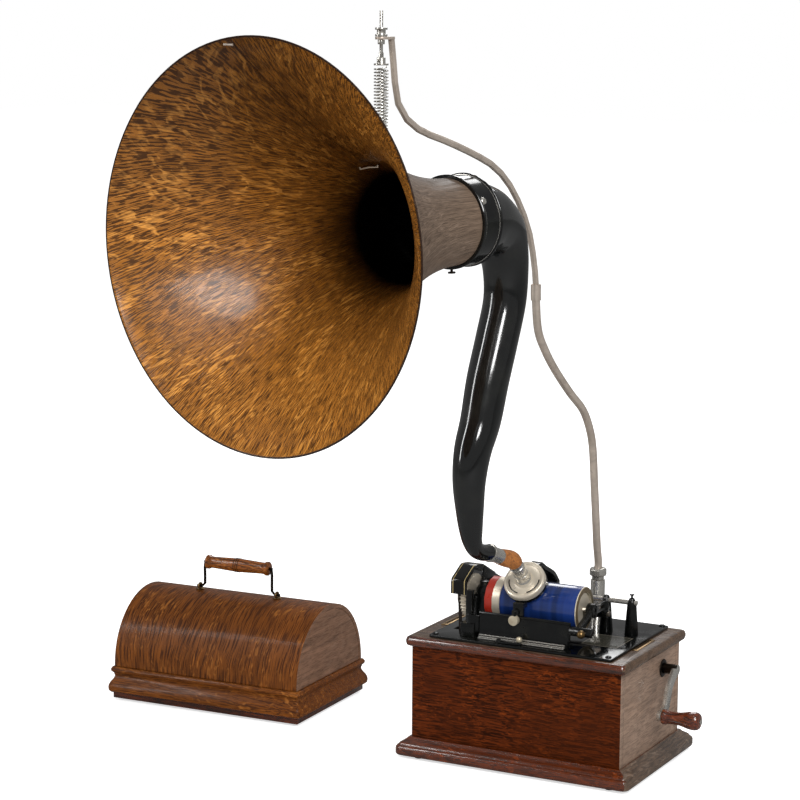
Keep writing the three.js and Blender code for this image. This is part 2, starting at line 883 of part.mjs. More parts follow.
function coverOutline(inset) {
  const bottom = inset > 0 ? overrun : 0;
  return [
    [coverFront + inset, deck + coverFrontBottom - bottom],
    [coverFront + inset, deck + coverKnee - inset / 2],
    [coverShoulderY + inset / 2, deck + coverShoulder - inset],
    [coverApexY, deck + coverApex - inset],
    [coverBack - inset, deck + coverBackBottom + inset],
    [coverBack - inset, deck + coverBackBottom - bottom],
  ];
}

function makeGearCover() {
  const right = frameLeft - seatGap;
  const outside = coverOutline(0);
  outside.pop();
  const shell = plate(alongX, outside, coverLeft, right);
  const hollow = plate(alongX, coverOutline(coverWall), coverLeft + coverWall, right + overrun);
  add(phonograph, 'gear_cover', cut(shell, hollow), blackEnamel);
}

// Mandrel: belt pulley, gear, shaft, flange, tapered drum and end pin
function makeMandrel() {
  const flangeLeft = recordLeft - seatGap - flangeLength;
  const bandLeft = recordLeft - seatGap - nickelBandLength;
  const drumStart = recordBore - seatGap;
  const hollowRadius = drumStart - drumTaper - drumWall;
  const grooveRadius = pulleyRadius - pulleyGroove;
  const pulleyRight = pulleyLeft + pulleyWidth;
  const profile = [
    [0, pulleyLeft], [pulleyRadius, pulleyLeft], [pulleyRadius, pulleyLeft + pulleyLip],
    [grooveRadius, pulleyLeft + pulleyLip], [grooveRadius, pulleyRight - pulleyLip],
    [pulleyRadius, pulleyRight - pulleyLip], [pulleyRadius, pulleyRight], [shaftRadius, pulleyRight],
    [shaftRadius, drumRight - drumWall], [hollowRadius, drumRight - drumWall], [hollowRadius, flangeLeft],
    [flangeRadius, flangeLeft], [flangeRadius, bandLeft], [flangeRadius - nickelBandStep, bandLeft],
    [flangeRadius - nickelBandStep, recordLeft - seatGap], [drumStart, recordLeft - seatGap],
    [drumStart - drumTaper, drumRight], [endPinRadius, drumRight], [endPinRadius, drumRight + endPinLength],
    [0, drumRight + endPinLength],
  ];
  const body = turned(alongX, mandrelY, mandrelZ, profile, roundSides);
  const towardFeed = Math.atan2(feedZ - mandrelZ, feedY - mandrelY);
  const gear = plate(alongX, gearOutline(mandrelTeeth, gearModule, mandrelY, mandrelZ, towardFeed),
    gearLeft, gearLeft + gearThickness);
  add(phonograph, 'mandrel', join(body, gear), nickel);

  const rim = recordRadius - recordEdge;
  const record = turned(alongX, mandrelY, mandrelZ, [
    [recordBore, recordLeft], [rim, recordLeft], [recordRadius, recordLeft + recordEdge],
    [recordRadius, recordRight - recordEdge], [rim, recordRight], [recordBore, recordRight], [recordBore,
      recordLeft],
  ], fineSides);
  add(phonograph, 'record', record, celluloid);
}

function makeFeedScrew() {
  const towardMandrel = Math.atan2(mandrelZ - feedZ, mandrelY - feedY);
  const halfTooth = Math.PI / feedTeeth;
  const gear = plate(alongX, gearOutline(feedTeeth, gearModule, feedY, feedZ, towardMandrel + halfTooth),
    gearLeft, gearLeft + gearThickness);
  const profile = [
    [0, gearLeft - overrun], [shaftRadius, gearLeft - overrun], [shaftRadius, feedThreadLeft],
    [feedThreadRadius, feedThreadLeft], [feedThreadRadius, feedThreadRight], [shaftRadius, feedThreadRight],
    [shaftRadius, feedScrewEnd], [0, feedScrewEnd],
  ];
  add(phonograph, 'feed_screw', join(turned(alongX, feedY, feedZ, profile, someSides), gear), steel);
  const backRod = rod(alongX, rodY, rodZ, backRodRadius, backRodLeft, backRodEnd, someSides);
  add(phonograph, 'back_rod', backRod, nickel);
}

function postBody(x) {
  const shoulder = deck + postShoulderHeight;
  const domeHeight = postHeight - postShoulderHeight;
  return turned(alongZ, x, rodY, [
    [0, deck], [postBaseRadius, deck],
    ...postDomeShares.map(([width, rise]) => [width * postNeckRadius, shoulder + rise * domeHeight]),
  ], roundSides);
}

// Inner post with the feed screw's end bearing and the gate's hinge pin; outer post with its thumb screw
function makePosts() {
  const rodBore = hole(alongX, rodY, rodZ, backRodRadius + seatGap, innerPostX - postBaseRadius - overrun,
    outerPostX + postBaseRadius + overrun);
  const boss = rod(alongX, feedY, feedZ, feedBossRadius, feedBossLeft, feedBossRight);
  const bossArm = box(bossArmLeft, bossArmRight, feedY, rodY, feedZ - bossArmDepth / 2,
    feedZ + bossArmDepth / 2);
  const lugOutline = strap([innerPostX, rodY], gateLugRadius, [gatePinX, gateY], gateLugRadius, someSides);
  const lug = plate(alongZ, lugOutline, deck + gateLugBottom, deck + gateLugTop);
  const pin = rod(alongZ, gatePinX, gateY, gatePinRadius, deck + gateLugTop - overrun, deck + gatePinTop);
  const inner = join(postBody(innerPostX), boss, bossArm, lug, pin);
  const screwBore = hole(alongX, feedY, feedZ, shaftRadius + shaftFit, feedBossLeft - overrun,
    feedBossRight + overrun);
  add(phonograph, 'post_inner', cut(inner, rodBore, screwBore), blackIron);

  const postTop = deck + postHeight;
  const headBottom = postTop + thumbRise - thumbHeadThickness;
  const stem = rod(alongZ, outerPostX, rodY, thumbStemRadius, postTop - thumbStemDepth,
    headBottom + thumbHeadThickness / 2);
  const head = rod(alongZ, outerPostX, rodY, thumbHeadRadius, headBottom, postTop + thumbRise);
  add(phonograph, 'post_outer', join(cut(postBody(outerPostX), rodBore), stem, head), blackIron);
}

// End gate: hinge knuckle, slotted double bar, centre boss, front arm, barrel and ball knob
function makeEndGate() {
  const left = gatePinX - gateThickness / 2;
  const right = gatePinX + gateThickness / 2;
  const lower = mandrelZ - gateBandHeight / 2;
  const upper = mandrelZ + gateBandHeight / 2;
  const bar = box(left, right, mandrelY, gateY, lower, upper);
  const arm = plate(alongX, strap([mandrelY, mandrelZ], gateArmHeight / 2, [barrelY, barrelZ],
    gateArmHeight / 2,
    fewSides), left, right);
  const boss = rod(alongX, mandrelY, mandrelZ, gateBossRadius, gateBossLeft, gateBossRight, roundSides);
  const knuckle = rod(alongZ, gatePinX, gateY, knuckleRadius, lower, upper);
  const barrel = rod(alongX, barrelY, barrelZ, gateBarrelRadius, gateBarrelLeft, gateBarrelRight);
  const knobY = barrelY - gateKnobReach;
  const neck = rod(alongY, barrelZ, gateKnobX, gateKnobNeck, knobY, barrelY);
  const knob = new THREE.SphereGeometry(gateKnobRadius, someSides, fewSides);
  knob.translate(gateKnobX, knobY, barrelZ);
  const whole = join(bar, arm, boss, knuckle, barrel, neck, knob);
  const slot = box(left - overrun, right + overrun, mandrelY + gateBossRadius + gateSlotHeight,
    gateY - knuckleRadius - gateSlotHeight / 2, mandrelZ - gateSlotHeight / 2,
      mandrelZ + gateSlotHeight / 2);
  const pinBore = hole(alongX, mandrelY, mandrelZ, endPinRadius + gatePinClearance, gateBossLeft - overrun,
    gateBossRight + overrun);
  const hingeBore = hole(alongZ, gatePinX, gateY, gatePinRadius + gatePinFit, lower - overrun,
    upper + overrun);
  add(phonograph, 'end_gate', cut(whole, slot, pinBore, hingeBore), blackIron);
}

function edgeTop() {
  return deck + edgeBottom + edgeHeight;
}

// Straight edge: plate, rounded top edge and the rail that it stands on
function makeStraightEdge() {
  const [front, back] = [edgeY - edgeThickness / 2, edgeY + edgeThickness / 2];
  const sheet = box(edgeLeft, edgeRight, front, back, deck + edgeBottom - overrun,
    edgeTop() - edgeBeadRadius);
  const bead = rod(alongX, edgeY, edgeTop() - edgeBeadRadius, edgeBeadRadius, edgeLeft, edgeRight);
  const rail = box(edgeLeft, edgeRailRight, edgeY - edgeRailDepth / 2, edgeY + edgeRailDepth / 2, deck,
    deck + edgeBottom);
  add(phonograph, 'straight_edge', join(sheet, bead, rail), blackEnamel);
}

function makeStartLever() {
  const end = startPivotX + startLeverLength;
  const arm = plate(alongZ, strap([startPivotX, startLeverY], startLeverWidth, [end, startLeverY],
    startLeverWidth / 2, someSides), deck, deck + startLeverThickness);
  const pivot = rod(alongZ, startPivotX, startLeverY, startLeverWidth / 2, deck,
    deck + startLeverThickness * 2);
  const stem = rod(alongZ, end, startLeverY, startKnobStem, deck, deck + startKnobRise);
  const knob = new THREE.SphereGeometry(startKnobRadius, someSides, fewSides);
  knob.translate(end, startLeverY, deck + startKnobRise);
  add(phonograph, 'start_lever', join(arm, pivot, stem, knob), brass);
}

// Sleeve on the back rod, with collars, and the finger whose half nut rides the feed screw
function makeSleeve() {
  const right = sleeveLeft + sleeveLength;
  const body = rod(alongX, rodY, rodZ, sleeveRadius, sleeveLeft, right);
  const leftCollar = rod(alongX, rodY, rodZ, collarRadius, sleeveLeft, sleeveLeft + collarLength,
    roundSides);
  const rightCollar = rod(alongX, rodY, rodZ, collarRadius, right - collarLength, right, roundSides);
  const nutTop = feedZ + feedThreadRadius + nutBlockHeight / 2;
  const finger = plate(alongX, strap([rodY, rodZ], collarRadius, [feedY, nutTop - nutBlockHeight / 2],
    nutBlockDepth / 2, someSides), sleeveLeft, sleeveLeft + collarLength);
  const whole = join(body, leftCollar, rightCollar, finger);
  const from = sleeveLeft - overrun;
  const bore = hole(alongX, rodY, rodZ, backRodRadius + sleeveFit, from, right + overrun);
  const screwCut = hole(alongX, feedY, feedZ, feedThreadRadius + seatGap, from,
    sleeveLeft + collarLength + overrun,
    roundSides);
  add(phonograph, 'carriage_sleeve', cut(whole, bore, screwCut), nickel);
}

// The reproducer's own frame: its axis leaves the record at a tilt toward the front
const tilt = THREE.MathUtils.degToRad(reproducerTilt);
const discAxis = new THREE.Vector3(0, -Math.sin(tilt), Math.cos(tilt));
const discUp = new THREE.Vector3(0, Math.cos(tilt), Math.sin(tilt));
const discStack = stylusGap + stylusLength + weightThickness + weightClearance + reproducerThickness;
const discRise = Math.sqrt(recordRadius ** 2 - reproducerOffAxis ** 2) + discStack;
const discFace = new THREE.Vector3(reproducerX, mandrelY, mandrelZ)
  .addScaledVector(discAxis, discRise)
  .addScaledVector(discUp, reproducerOffAxis);
const discFrame = new THREE.Matrix4()
  .makeBasis(new THREE.Vector3(1, 0, 0), discUp, discAxis)
  .setPosition(discFace);
const neckEnd = discFace.clone().addScaledVector(discAxis, neckLength);

// Arm that swings on the sleeve, carries the reproducer's ring and rests its leg on the straight edge
function makeArm() {
  const right = sleeveLeft + sleeveLength;
  const ringLeft = sleeveLeft + collarLength + seatGap;
  const ringRight = right - collarLength - seatGap;
  const ringInner = sleeveRadius + seatGap;
  const ringOuter = ringInner + armRingWall;
  const hub = rod(alongX, rodY, rodZ, ringOuter, ringLeft, ringRight, roundSides);
  const ringTop = -reproducerThickness - seatGap;
  const ringBottom = ringTop - armRingThickness;
  const ring = plate(discFrame, circle(0, 0, reproducerRadius, fineSides), ringBottom, ringTop,
    [circle(0, 0, armRingInner, roundSides)]);
  const ringBack = new THREE.Vector3(0, (armRingInner + reproducerRadius) / 2, (ringTop + ringBottom) / 2);
  ringBack.applyMatrix4(discFrame);
  const clear = collarRadius + armThickness;
  const archPoints = [
    [rodY + armThickness, rodZ + clear],
    [rodY - collarRadius, rodZ + clear * 2],
    [(rodY + ringBack.y) / 2 - armThickness, (rodZ + clear * 2 + ringBack.z) / 2 + armThickness],
    [ringBack.y + clear, ringBack.z + armThickness * 2 / 3],
    [ringBack.y, ringBack.z],
  ];
  const arch = plate(alongX, band(archPoints, armThickness, someSides), armRight - armWidth, armRight);
  const root = box(ringLeft + armThickness, armRight, rodY - armThickness / 2, rodY + armThickness * 3 / 2,
    rodZ + ringOuter - overrun / 2, rodZ + clear + armThickness / 2);
  const legBottom = edgeTop() + seatGap;
  const legLeft = legRight - legWidth;
  const leg = box(legLeft, legRight, edgeY - legThickness / 2, edgeY + legThickness / 2, legBottom,
    legBottom + legHeight);
  const step = box(legLeft, legRight, edgeY, legBlockBack, legBottom + legHeight - legBlockHeight,
    legBottom + legHeight);
  const hubBore = hole(alongX, rodY, rodZ, ringInner, ringLeft - overrun, ringRight + overrun, roundSides);
  const collarRoom = hole(alongX, rodY, rodZ, collarRadius + seatGap, right - collarLength - seatGap,
    right + overrun * 2, roundSides);
  const whole = join(hub, ring, arch, root, leg, step);
  const discRoom = hole(discFrame, 0, 0, reproducerRadius + seatGap, ringTop, armRingThickness, fineSides);
  const weightRoom = rod(discFrame, 0, 0, armRingInner, ringBottom - overrun * 2, ringTop + overrun,
    roundSides);
  add(phonograph, 'carriage_arm', cut(whole, hubBore, collarRoom, discRoom, weightRoom), nickel);
}

// Lever in front of the leg, which lifts the arm when its knob is turned aside
function makeLiftLever() {
  const back = edgeY - edgeBeadRadius - seatGap;
  const front = back - liftPlateThickness;
  const pivotZ = edgeTop() + liftKnobDrop / 2;
  const knobZ = pivotZ - liftKnobDrop + edgeBeadRadius - overrun;
  const sheet = plate(alongY, strap([pivotZ, liftLeverX], liftPlateWidth / 2, [knobZ, liftLeverX],
    liftPlateWidth / 2, someSides), front, back);
  const knob = rod(alongY, knobZ, liftLeverX, liftKnobRadius, front - liftKnobDepth, front + overrun / 2,
    roundSides);
  const pin = rod(alongY, pivotZ, liftLeverX, liftPinRadius, front - liftPlateThickness, back);
  add(phonograph, 'lift_lever', join(sheet, knob, pin), brass);
}

// Reproducer body with its raised ring and neck tube, and the weight that floats below it
function makeReproducer() {
  const faceInner = reproducerRadius - reproducerLipWidth;
  const inner = neckRadius + reproducerLip;
  const profile = [
    [0, -reproducerThickness], [reproducerRadius, -reproducerThickness], [reproducerRadius, -reproducerLip],
    [reproducerRadius - reproducerLip, 0], [faceInner, 0], [faceInner - reproducerLip, -reproducerLip],
    [neckFlareRadius, -reproducerLip], [neckFlareRadius, 0], [neckRadius, neckFlareHeight], [neckRadius,
      neckLength],
    [neckBore, neckLength], [neckBore, -reproducerThickness / 2], [0, -reproducerThickness / 2],
  ];
  const body = turned(discFrame, 0, 0, profile, fineSides);
  const underside = -reproducerThickness;
  const hingeY = weightRadius - weightHingeWidth / 2;
  const hingeZ = underside - weightClearance - weightThickness / 2;
  const earGap = weightHingeWidth / 2 + weightHingeFit;
  const across = alongX.clone().premultiply(discFrame);
  const ears = [[-earGap - overrun, -earGap], [earGap, earGap + overrun]].map(([from, to]) => plate(across,
    [[hingeY - overrun, underside + overrun], [hingeY + overrun, underside + overrun],
      [hingeY + overrun, hingeZ - overrun / 2], [hingeY - overrun, hingeZ - overrun / 2]].reverse(), from,
        to));
  const pin = rod(across, hingeY, hingeZ, weightHingeRadius / 2, -earGap - overrun / 2,
    earGap + overrun / 2, fewSides);
  add(phonograph, 'reproducer', join(body, ...ears, pin), nickel);

  const top = underside - weightClearance;
  const bottom = top - weightThickness;
  const disc = plate(discFrame, circle(0, 0, weightRadius, roundSides), bottom, top);
  const stylus = turned(discFrame, 0, 0, [[0, bottom - stylusLength], [stylusTip, bottom - stylusLength],
    [stylusRadius, bottom + overrun / 2], [0, bottom + overrun / 2]], fewSides);
  const notchWide = earGap + overrun + weightHingeFit;
  const notchDeep = hingeY - overrun - weightHingeFit;
  const notches = [[-notchWide, -earGap + weightHingeFit], [earGap - weightHingeFit, notchWide]].map(
    ([from, to]) => box(from, to, notchDeep, weightRadius + overrun, bottom - overrun, top + overrun)
      .applyMatrix4(discFrame));
  const pinRoom = hole(across, hingeY, hingeZ, weightHingeRadius / 2 + weightHingeFit, -notchWide,
    notchWide, fewSides);
  const taper = box(weightNotchWidth, weightRadius + overrun, -weightRadius - overrun, -armRingInner / 2,
    bottom - overrun, top + overrun).applyMatrix4(discFrame);
  add(phonograph, 'reproducer_weight', cut(join(disc, stylus), ...notches, pinRoom, taper), nickel);
}

// The horn's plane passes through the reproducer and is turned about the vertical
const yaw = THREE.MathUtils.degToRad(hornYaw);
const hornBack = new THREE.Vector3(Math.sin(yaw), Math.cos(yaw), 0);
const hornSide = new THREE.Vector3(Math.cos(yaw), -Math.sin(yaw), 0);
const upward = new THREE.Vector3(0, 0, 1);

function onHornPlane(along, height) {
  const point = new THREE.Vector3(reproducerX, discFace.y, 0).addScaledVector(hornBack, along);
  return point.setZ(height);
}

const neckAlong = new THREE.Vector3().subVectors(neckEnd, onHornPlane(0, neckEnd.z)).dot(hornBack);
const ferruleStart = onHornPlane(neckAlong - connectorReach, neckEnd.z + connectorRise);
const rimPoint = onHornPlane(neckAlong - connectorReach - ferruleReach,
  neckEnd.z + connectorRise + ferruleRise);
const elbowEnd = elbowShares[elbowShares.length - 1];
const rimAlong = neckAlong - connectorReach - ferruleReach;
const collarStart = onHornPlane(rimAlong + elbowEnd[0] * elbowRise, rimPoint.z + elbowEnd[1] * elbowRise);
const pitch = THREE.MathUtils.degToRad(hornPitch);
const hornAxis = hornBack.clone().multiplyScalar(-Math.cos(pitch)).addScaledVector(upward,
  -Math.sin(pitch));
const hornUp = new THREE.Vector3().crossVectors(hornAxis, hornSide).normalize();
const hornFrame = new THREE.Matrix4().makeBasis(hornSide, hornUp, hornAxis).setPosition(collarStart);
const bellStart = seatGap * 2 + collarBandLength;

function flareRadius(share) {
  return throatRadius + (bellRadius - throatRadius) * share ** flarePower;
}

// Rows of [radius, place] for the bell's outside, grown by a margin
function bellRows(margin) {
  const rows = [];
  const rings = fewSides + 2;
  for (let i = 0; i <= rings; i += 1) {
    const share = i / rings;
    rows.push([flareRadius(share) + margin, bellStart + bellLength * share]);
  }
  return rows;
}

function makeHorn() {
  const outside = bellRows(0);
  const inside = bellRows(-bellWall).reverse();
  inside[0][1] -= bellRim;
  const bell = turned(hornFrame, 0, 0, [...outside, ...inside, outside[0]], fineSides);
  add(phonograph, 'horn_bell', bell, hornOak);

  const bandEnd = bellStart - seatGap;
  const bandInner = throatRadius - bellWall - overrun;
  const collar = turned(hornFrame, 0, 0, [
    [bandInner, seatGap], [collarBandBead, seatGap], [collarBandBead, seatGap + collarBandBeadLength],
    [collarBandRadius, seatGap + collarBandBeadLength * 3 / 2],
    [collarBandRadius, bandEnd - collarBandBeadLength * 3 / 2],
    [collarBandBead, bandEnd - collarBandBeadLength], [collarBandBead, bandEnd], [bandInner, bandEnd],
    [bandInner, seatGap],
  ], fineSides);
  add(phonograph, 'horn_collar', collar, blackEnamel);

  const elbowRadius = collarBandRadius - collarBandBeadLength * 2;
  const centres = elbowShares.map(([along, height]) => onHornPlane(rimAlong + along * elbowRise,
    rimPoint.z + height * elbowRise));
  const radii = elbowShares.map((row) => row[2] * elbowRadius);
  const rimAxis = new THREE.Vector3().subVectors(rimPoint, ferruleStart);
  const elbow = hollowTube(centres, radii, elbowWall, hornSide, rimAxis, hornAxis, roundSides);
  add(phonograph, 'horn_elbow', elbow, blackEnamel);
}

// A frame whose Z runs from one point to another, with X across the horn's plane
function frameBetween(from, to) {
  const axis = new THREE.Vector3().subVectors(to, from).normalize();
  const across = hornSide.clone();
  const up = new THREE.Vector3().crossVectors(axis, across).normalize();
  across.crossVectors(up, axis);
  return new THREE.Matrix4().makeBasis(across, up, axis).setPosition(from);
}

function makeFerrule() {
  const length = rimPoint.distanceTo(ferruleStart);
  const frame = frameBetween(ferruleStart, rimPoint);
  const end = length - seatGap * 2;
  const ferrule = turned(frame, 0, 0, [
    [ferruleBore, seatGap], [ferruleRadius, seatGap], [ferruleRadius, end - ferruleBeadLength],
    [ferruleBead, end - ferruleBeadLength], [ferruleBead, end], [ferruleBore, end], [ferruleBore, seatGap],
  ], roundSides);
  add(phonograph, 'elbow_ferrule', ferrule, nickel);

  const neckOut = neckEnd.clone().addScaledVector(discAxis, seatGap);
  const backward = new THREE.Vector3().subVectors(ferruleStart, rimPoint).normalize();
  const path = new THREE.CubicBezierCurve3(neckOut, neckOut.clone().addScaledVector(discAxis,
    connectorBend),
    ferruleStart.clone().addScaledVector(backward, connectorBend), ferruleStart);
  const shape = outline(circle(0, 0, ferruleRadius, someSides));
  shape.holes.push(outline(circle(0, 0, ferruleRadius - connectorWall, someSides)));
  const connector = new THREE.ExtrudeGeometry(shape, { steps: fewSides, extrudePath: path,
    bevelEnabled: false });
  add(phonograph, 'rubber_connector', connector, gum);
}

// Suspension: loop on the horn, hook, coil spring, coupling, hanger rod with its nut
const loopPlace = bellStart + bellLength - loopBehindMouth;
const loopRoot = new THREE.Vector3(0, 0, loopPlace).applyMatrix4(hornFrame);
const bellTopZ = loopRoot.z + flareRadius((loopPlace - bellStart) / bellLength);
const hangX = loopRoot.x;
const hangY = loopRoot.y;
const loopTopZ = bellTopZ + loopStand;
const hookCentreZ = loopTopZ + hookRadius - loopWire - hookWire - hookDrop;
const springBottomZ = hookCentreZ + hookStem + springSeatThickness + seatGap;
const springHeight = springTurns * springPitch + springWire * springEndWires;
const couplingZ = springBottomZ + springHeight + seatGap;
const pivotZ = couplingZ + pivotHeight;
const tabZ = pivotZ + hangerTabAbove + tongueRadius * 2;
const tipZ = tabZ + hangerTabThickness / 2;
const hangFrame = new THREE.Matrix4().makeBasis(hornSide, hornBack, upward).setPosition(hangX, hangY, 0);
const inHang = (across, along, height) => new THREE.Vector3(across, along, height).applyMatrix4(hangFrame);

function makeLoop() {
  const points = [inHang(-loopRadius, 0, bellTopZ - loopRadius)];
  const springLine = loopTopZ - loopRadius;
  for (const [across, height] of arc(0, springLine, loopRadius, Math.PI, 0, fewSides)) {
    points.push(inHang(across, 0, height));
  }
  points.push(inHang(loopRadius, 0, bellTopZ - loopRadius));
  const staple = tube(points, loopWire, fewSides, roundSides);
  const grown = bellRows(seatGap);
  const end = grown[grown.length - 1];
  const bell = turned(hornFrame, 0, 0, [[0, grown[0][1]], ...grown, [0, end[1]]], fineSides);
  add(phonograph, 'horn_loop', cut(staple, bell), brass);
}

function makeHook() {
  const seatTop = springBottomZ - seatGap;
  const seat = rod(hangFrame, 0, 0, springRadius, seatTop - springSeatThickness, seatTop, roundSides);
  const points = [inHang(0, 0, seatTop - springSeatThickness / 2), inHang(0, 0,
    seatTop - springSeatThickness - overrun)];
  const turn = THREE.MathUtils.degToRad(hookOpening);
  for (const [along, height] of arc(0, hookCentreZ, hookRadius, turn, -Math.PI, fewSides)) {
    points.push(inHang(0, along, height));
  }
  add(phonograph, 'hanger_hook', join(seat, tube(points, hookWire, fewSides, roundSides)), steel);
}

// Coil spring as one unbroken tube, with straight ends that stand square on their seats
function makeSpring() {
  const radius = springRadius - springWire;
  const straight = springWire * 2;
  const centres = [inHang(radius, 0, springBottomZ), inHang(radius, 0, springBottomZ + straight)];
  const coilBottom = springBottomZ + springWire * springEndWires / 2;
  const total = springTurns * springSteps;
  for (let i = 1; i < total; i += 1) {
    const angle = Math.PI * 2 * i / springSteps;
    centres.push(inHang(radius * Math.cos(angle), radius * Math.sin(angle),
      coilBottom + springPitch * i / springSteps));
  }
  const top = springBottomZ + springHeight;
  centres.push(inHang(radius, 0, top - straight), inHang(radius, 0, top));
  const rings = [];
  let across = hornSide.clone();
  centres.forEach((centre, i) => {
    const before = centres[Math.max(i - 1, 0)];
    const after = centres[Math.min(i + 1, centres.length - 1)];
    const tangent = new THREE.Vector3().subVectors(after, before).normalize();
    if (i === 0 || i === centres.length - 1) {
      tangent.copy(upward);
    }
    across = across.clone().addScaledVector(tangent, -across.dot(tangent)).normalize();
    rings.push(ringAt(centre, across, new THREE.Vector3().crossVectors(tangent, across), springWire,
      springSides));
  });
  let least = Infinity;
  for (let i = 0; i < centres.length; i += 1) {
    for (let j = i + springSteps / 2; j < centres.length; j += 1) {
      least = Math.min(least, centres[i].distanceTo(centres[j]) - springWire * 2);
    }
  }
  console.log(`hanger_spring least gap to itself ${least.toFixed(2)} mm`);
  add(phonograph, 'hanger_spring', skin(rings, false), steel);
}

function makeHanger() {
  const seat = rod(hangFrame, 0, 0, springRadius, couplingZ, couplingZ + springSeatThickness, roundSides);
  const body = rod(hangFrame, 0, 0, couplingRadius, couplingZ, couplingZ + couplingHeight, roundSides);
  const slotHalf = tongueThickness / 2 + seatGap;
  const slot = box(-slotHalf, slotHalf, -springRadius, springRadius, pivotZ - tongueRadius - seatGap * 2,
    couplingZ + couplingHeight + overrun).applyMatrix4(hangFrame);
  const across = alongX.clone().premultiply(hangFrame);
  const pin = rod(across, 0, pivotZ, pivotPinRadius, -couplingRadius + seatGap, couplingRadius - seatGap,
    fewSides);
  add(phonograph, 'hanger_coupling', join(cut(join(seat, body), slot), pin), steel);

  const rodTop = pivotZ + tongueRadius + hangerRodLength;
  const tongue = cut(plate(across, strap([0, pivotZ], tongueRadius, [0, pivotZ + tongueRadius * 2],
    tongueRadius,
    someSides), -tongueThickness / 2, tongueThickness / 2),
  hole(across, 0, pivotZ, pivotPinRadius + seatGap, -tongueThickness, tongueThickness));
  const shank = rod(hangFrame, 0, 0, hangerRodRadius, pivotZ + tongueRadius * 2, rodTop);
  const collar = rod(hangFrame, 0, 0, hangerCollarRadius, tabZ - seatGap - hangerCollarHeight,
    tabZ - seatGap);
  add(phonograph, 'hanger_rod', join(tongue, shank, collar), steel);

  const nutBottom = tabZ + hangerTabThickness + seatGap;
  const nutTop = nutBottom + hangerNutHeight;
  const bore = holeRadius(hangerRodRadius + seatGap, roundSides);
  const lip = hangerNutHeight / 4;
  add(phonograph, 'hanger_nut', turned(hangFrame, 0, 0, [
    [bore, nutBottom], [hangerNutRadius, nutBottom], [hangerNutRadius, nutBottom + lip],
    [hangerNutWaist, nutBottom + lip], [hangerNutWaist, nutTop - lip], [hangerNutRadius, nutTop - lip],
    [hangerNutRadius, nutTop], [bore, nutTop], [bore, nutBottom],
  ], roundSides), nickel);
}

// Crane: rear bracket with its socket, clamp nut, and two tubes that follow one path to the hanger
function makeCrane() {
  const caseBack = caseDepth / 2 + seatGap;
  const socketY = caseDepth / 2 + craneBehindCase;
  const socketTop = bedTop + socketTopAboveBed;
  const bore = craneTubeRadius + seatGap;
  const nutBore = holeRadius(bore, roundSides);
  const sheet = box(craneX - bracketPlateWidth / 2, craneX + bracketPlateWidth / 2, caseBack,
    caseBack + bracketPlateThickness, bracketPlateBottom, bracketPlateTop);
  const socket = rod(alongZ, craneX, socketY, socketRadius, socketBottom, socketTop, roundSides);
  const lugs = [socketBottom + seatGap, bracketPlateTop - bracketLugHeight - seatGap].map((z) => box(
    craneX - bracketLugWidth / 2, craneX + bracketLugWidth / 2, caseBack, socketY, z,
      z + bracketLugHeight));
  const well = hole(alongZ, craneX, socketY, bore, socketTop - socketDepth, socketTop + overrun,
    roundSides);
  add(phonograph, 'crane_socket', cut(join(sheet, socket, ...lugs), well), blackIron);

  const nutBottom = socketTop + seatGap;
  const nutTop = nutBottom + craneNutHeight;
  const shoulder = nutBottom + craneNutHeight / 3;
  add(phonograph, 'crane_nut', turned(alongZ, craneX, socketY, [
    [nutBore, nutBottom], [craneNutWaist, nutBottom], [craneNutWaist, shoulder], [craneNutRadius, shoulder],
    [craneNutRadius, nutTop - topEdge], [craneNutRadius - topEdge, nutTop], [nutBore, nutTop],
    [nutBore, nutBottom],
  ], roundSides), nickel);

  const foot = new THREE.Vector3(craneX, socketY, socketTop);
  const reach = new THREE.Vector3(hangX - craneX, hangY - socketY, 0);
  const rise = tipZ - socketTop;
  const path = new THREE.CatmullRomCurve3(cranePathShares.map(([along, height]) => foot.clone()
    .addScaledVector(reach, along).addScaledVector(upward, height * rise)), false, 'catmullrom',
    curveTension);
  const length = path.getLength();
  const sample = (from, to, count) => {
    const points = [];
    for (let i = 0; i <= count; i += 1) {
      points.push(path.getPointAt(from + (to - from) * i / count));
    }
    return points;
  };
  const lower = tube(sample(0, craneJointShare, fineSides), craneTubeRadius, fewSides + 2,
    fineSides - fewSides);
  const sleeve = tube(sample(craneJointShare - craneSleeveLength / length, craneJointShare, 2),
    craneSleeveRadius,
    someSides, 2);
  add(phonograph, 'crane_lower_tube', join(lower, sleeve), blackIron);

  const upper = tube(sample(craneJointShare + seatGap * 3 / length, 1, roundSides), craneUpperRadius,
    fewSides,
    roundSides + fewSides);
  const tip = path.getPointAt(1);
  const tabFrame = new THREE.Matrix4().makeTranslation(0, 0, tabZ);
  const tab = plate(tabFrame, strap([hangX, hangY], hangerTabRadius, [tip.x, tip.y], craneUpperRadius,
    someSides),
    0, hangerTabThickness);
  const tabHole = hole(alongZ, hangX, hangY, hangerRodRadius + seatGap, tabZ - overrun,
    tabZ + hangerTabThickness + overrun);
  add(phonograph, 'crane_upper_tube', cut(join(upper, tab), tabHole), blackIron);
}

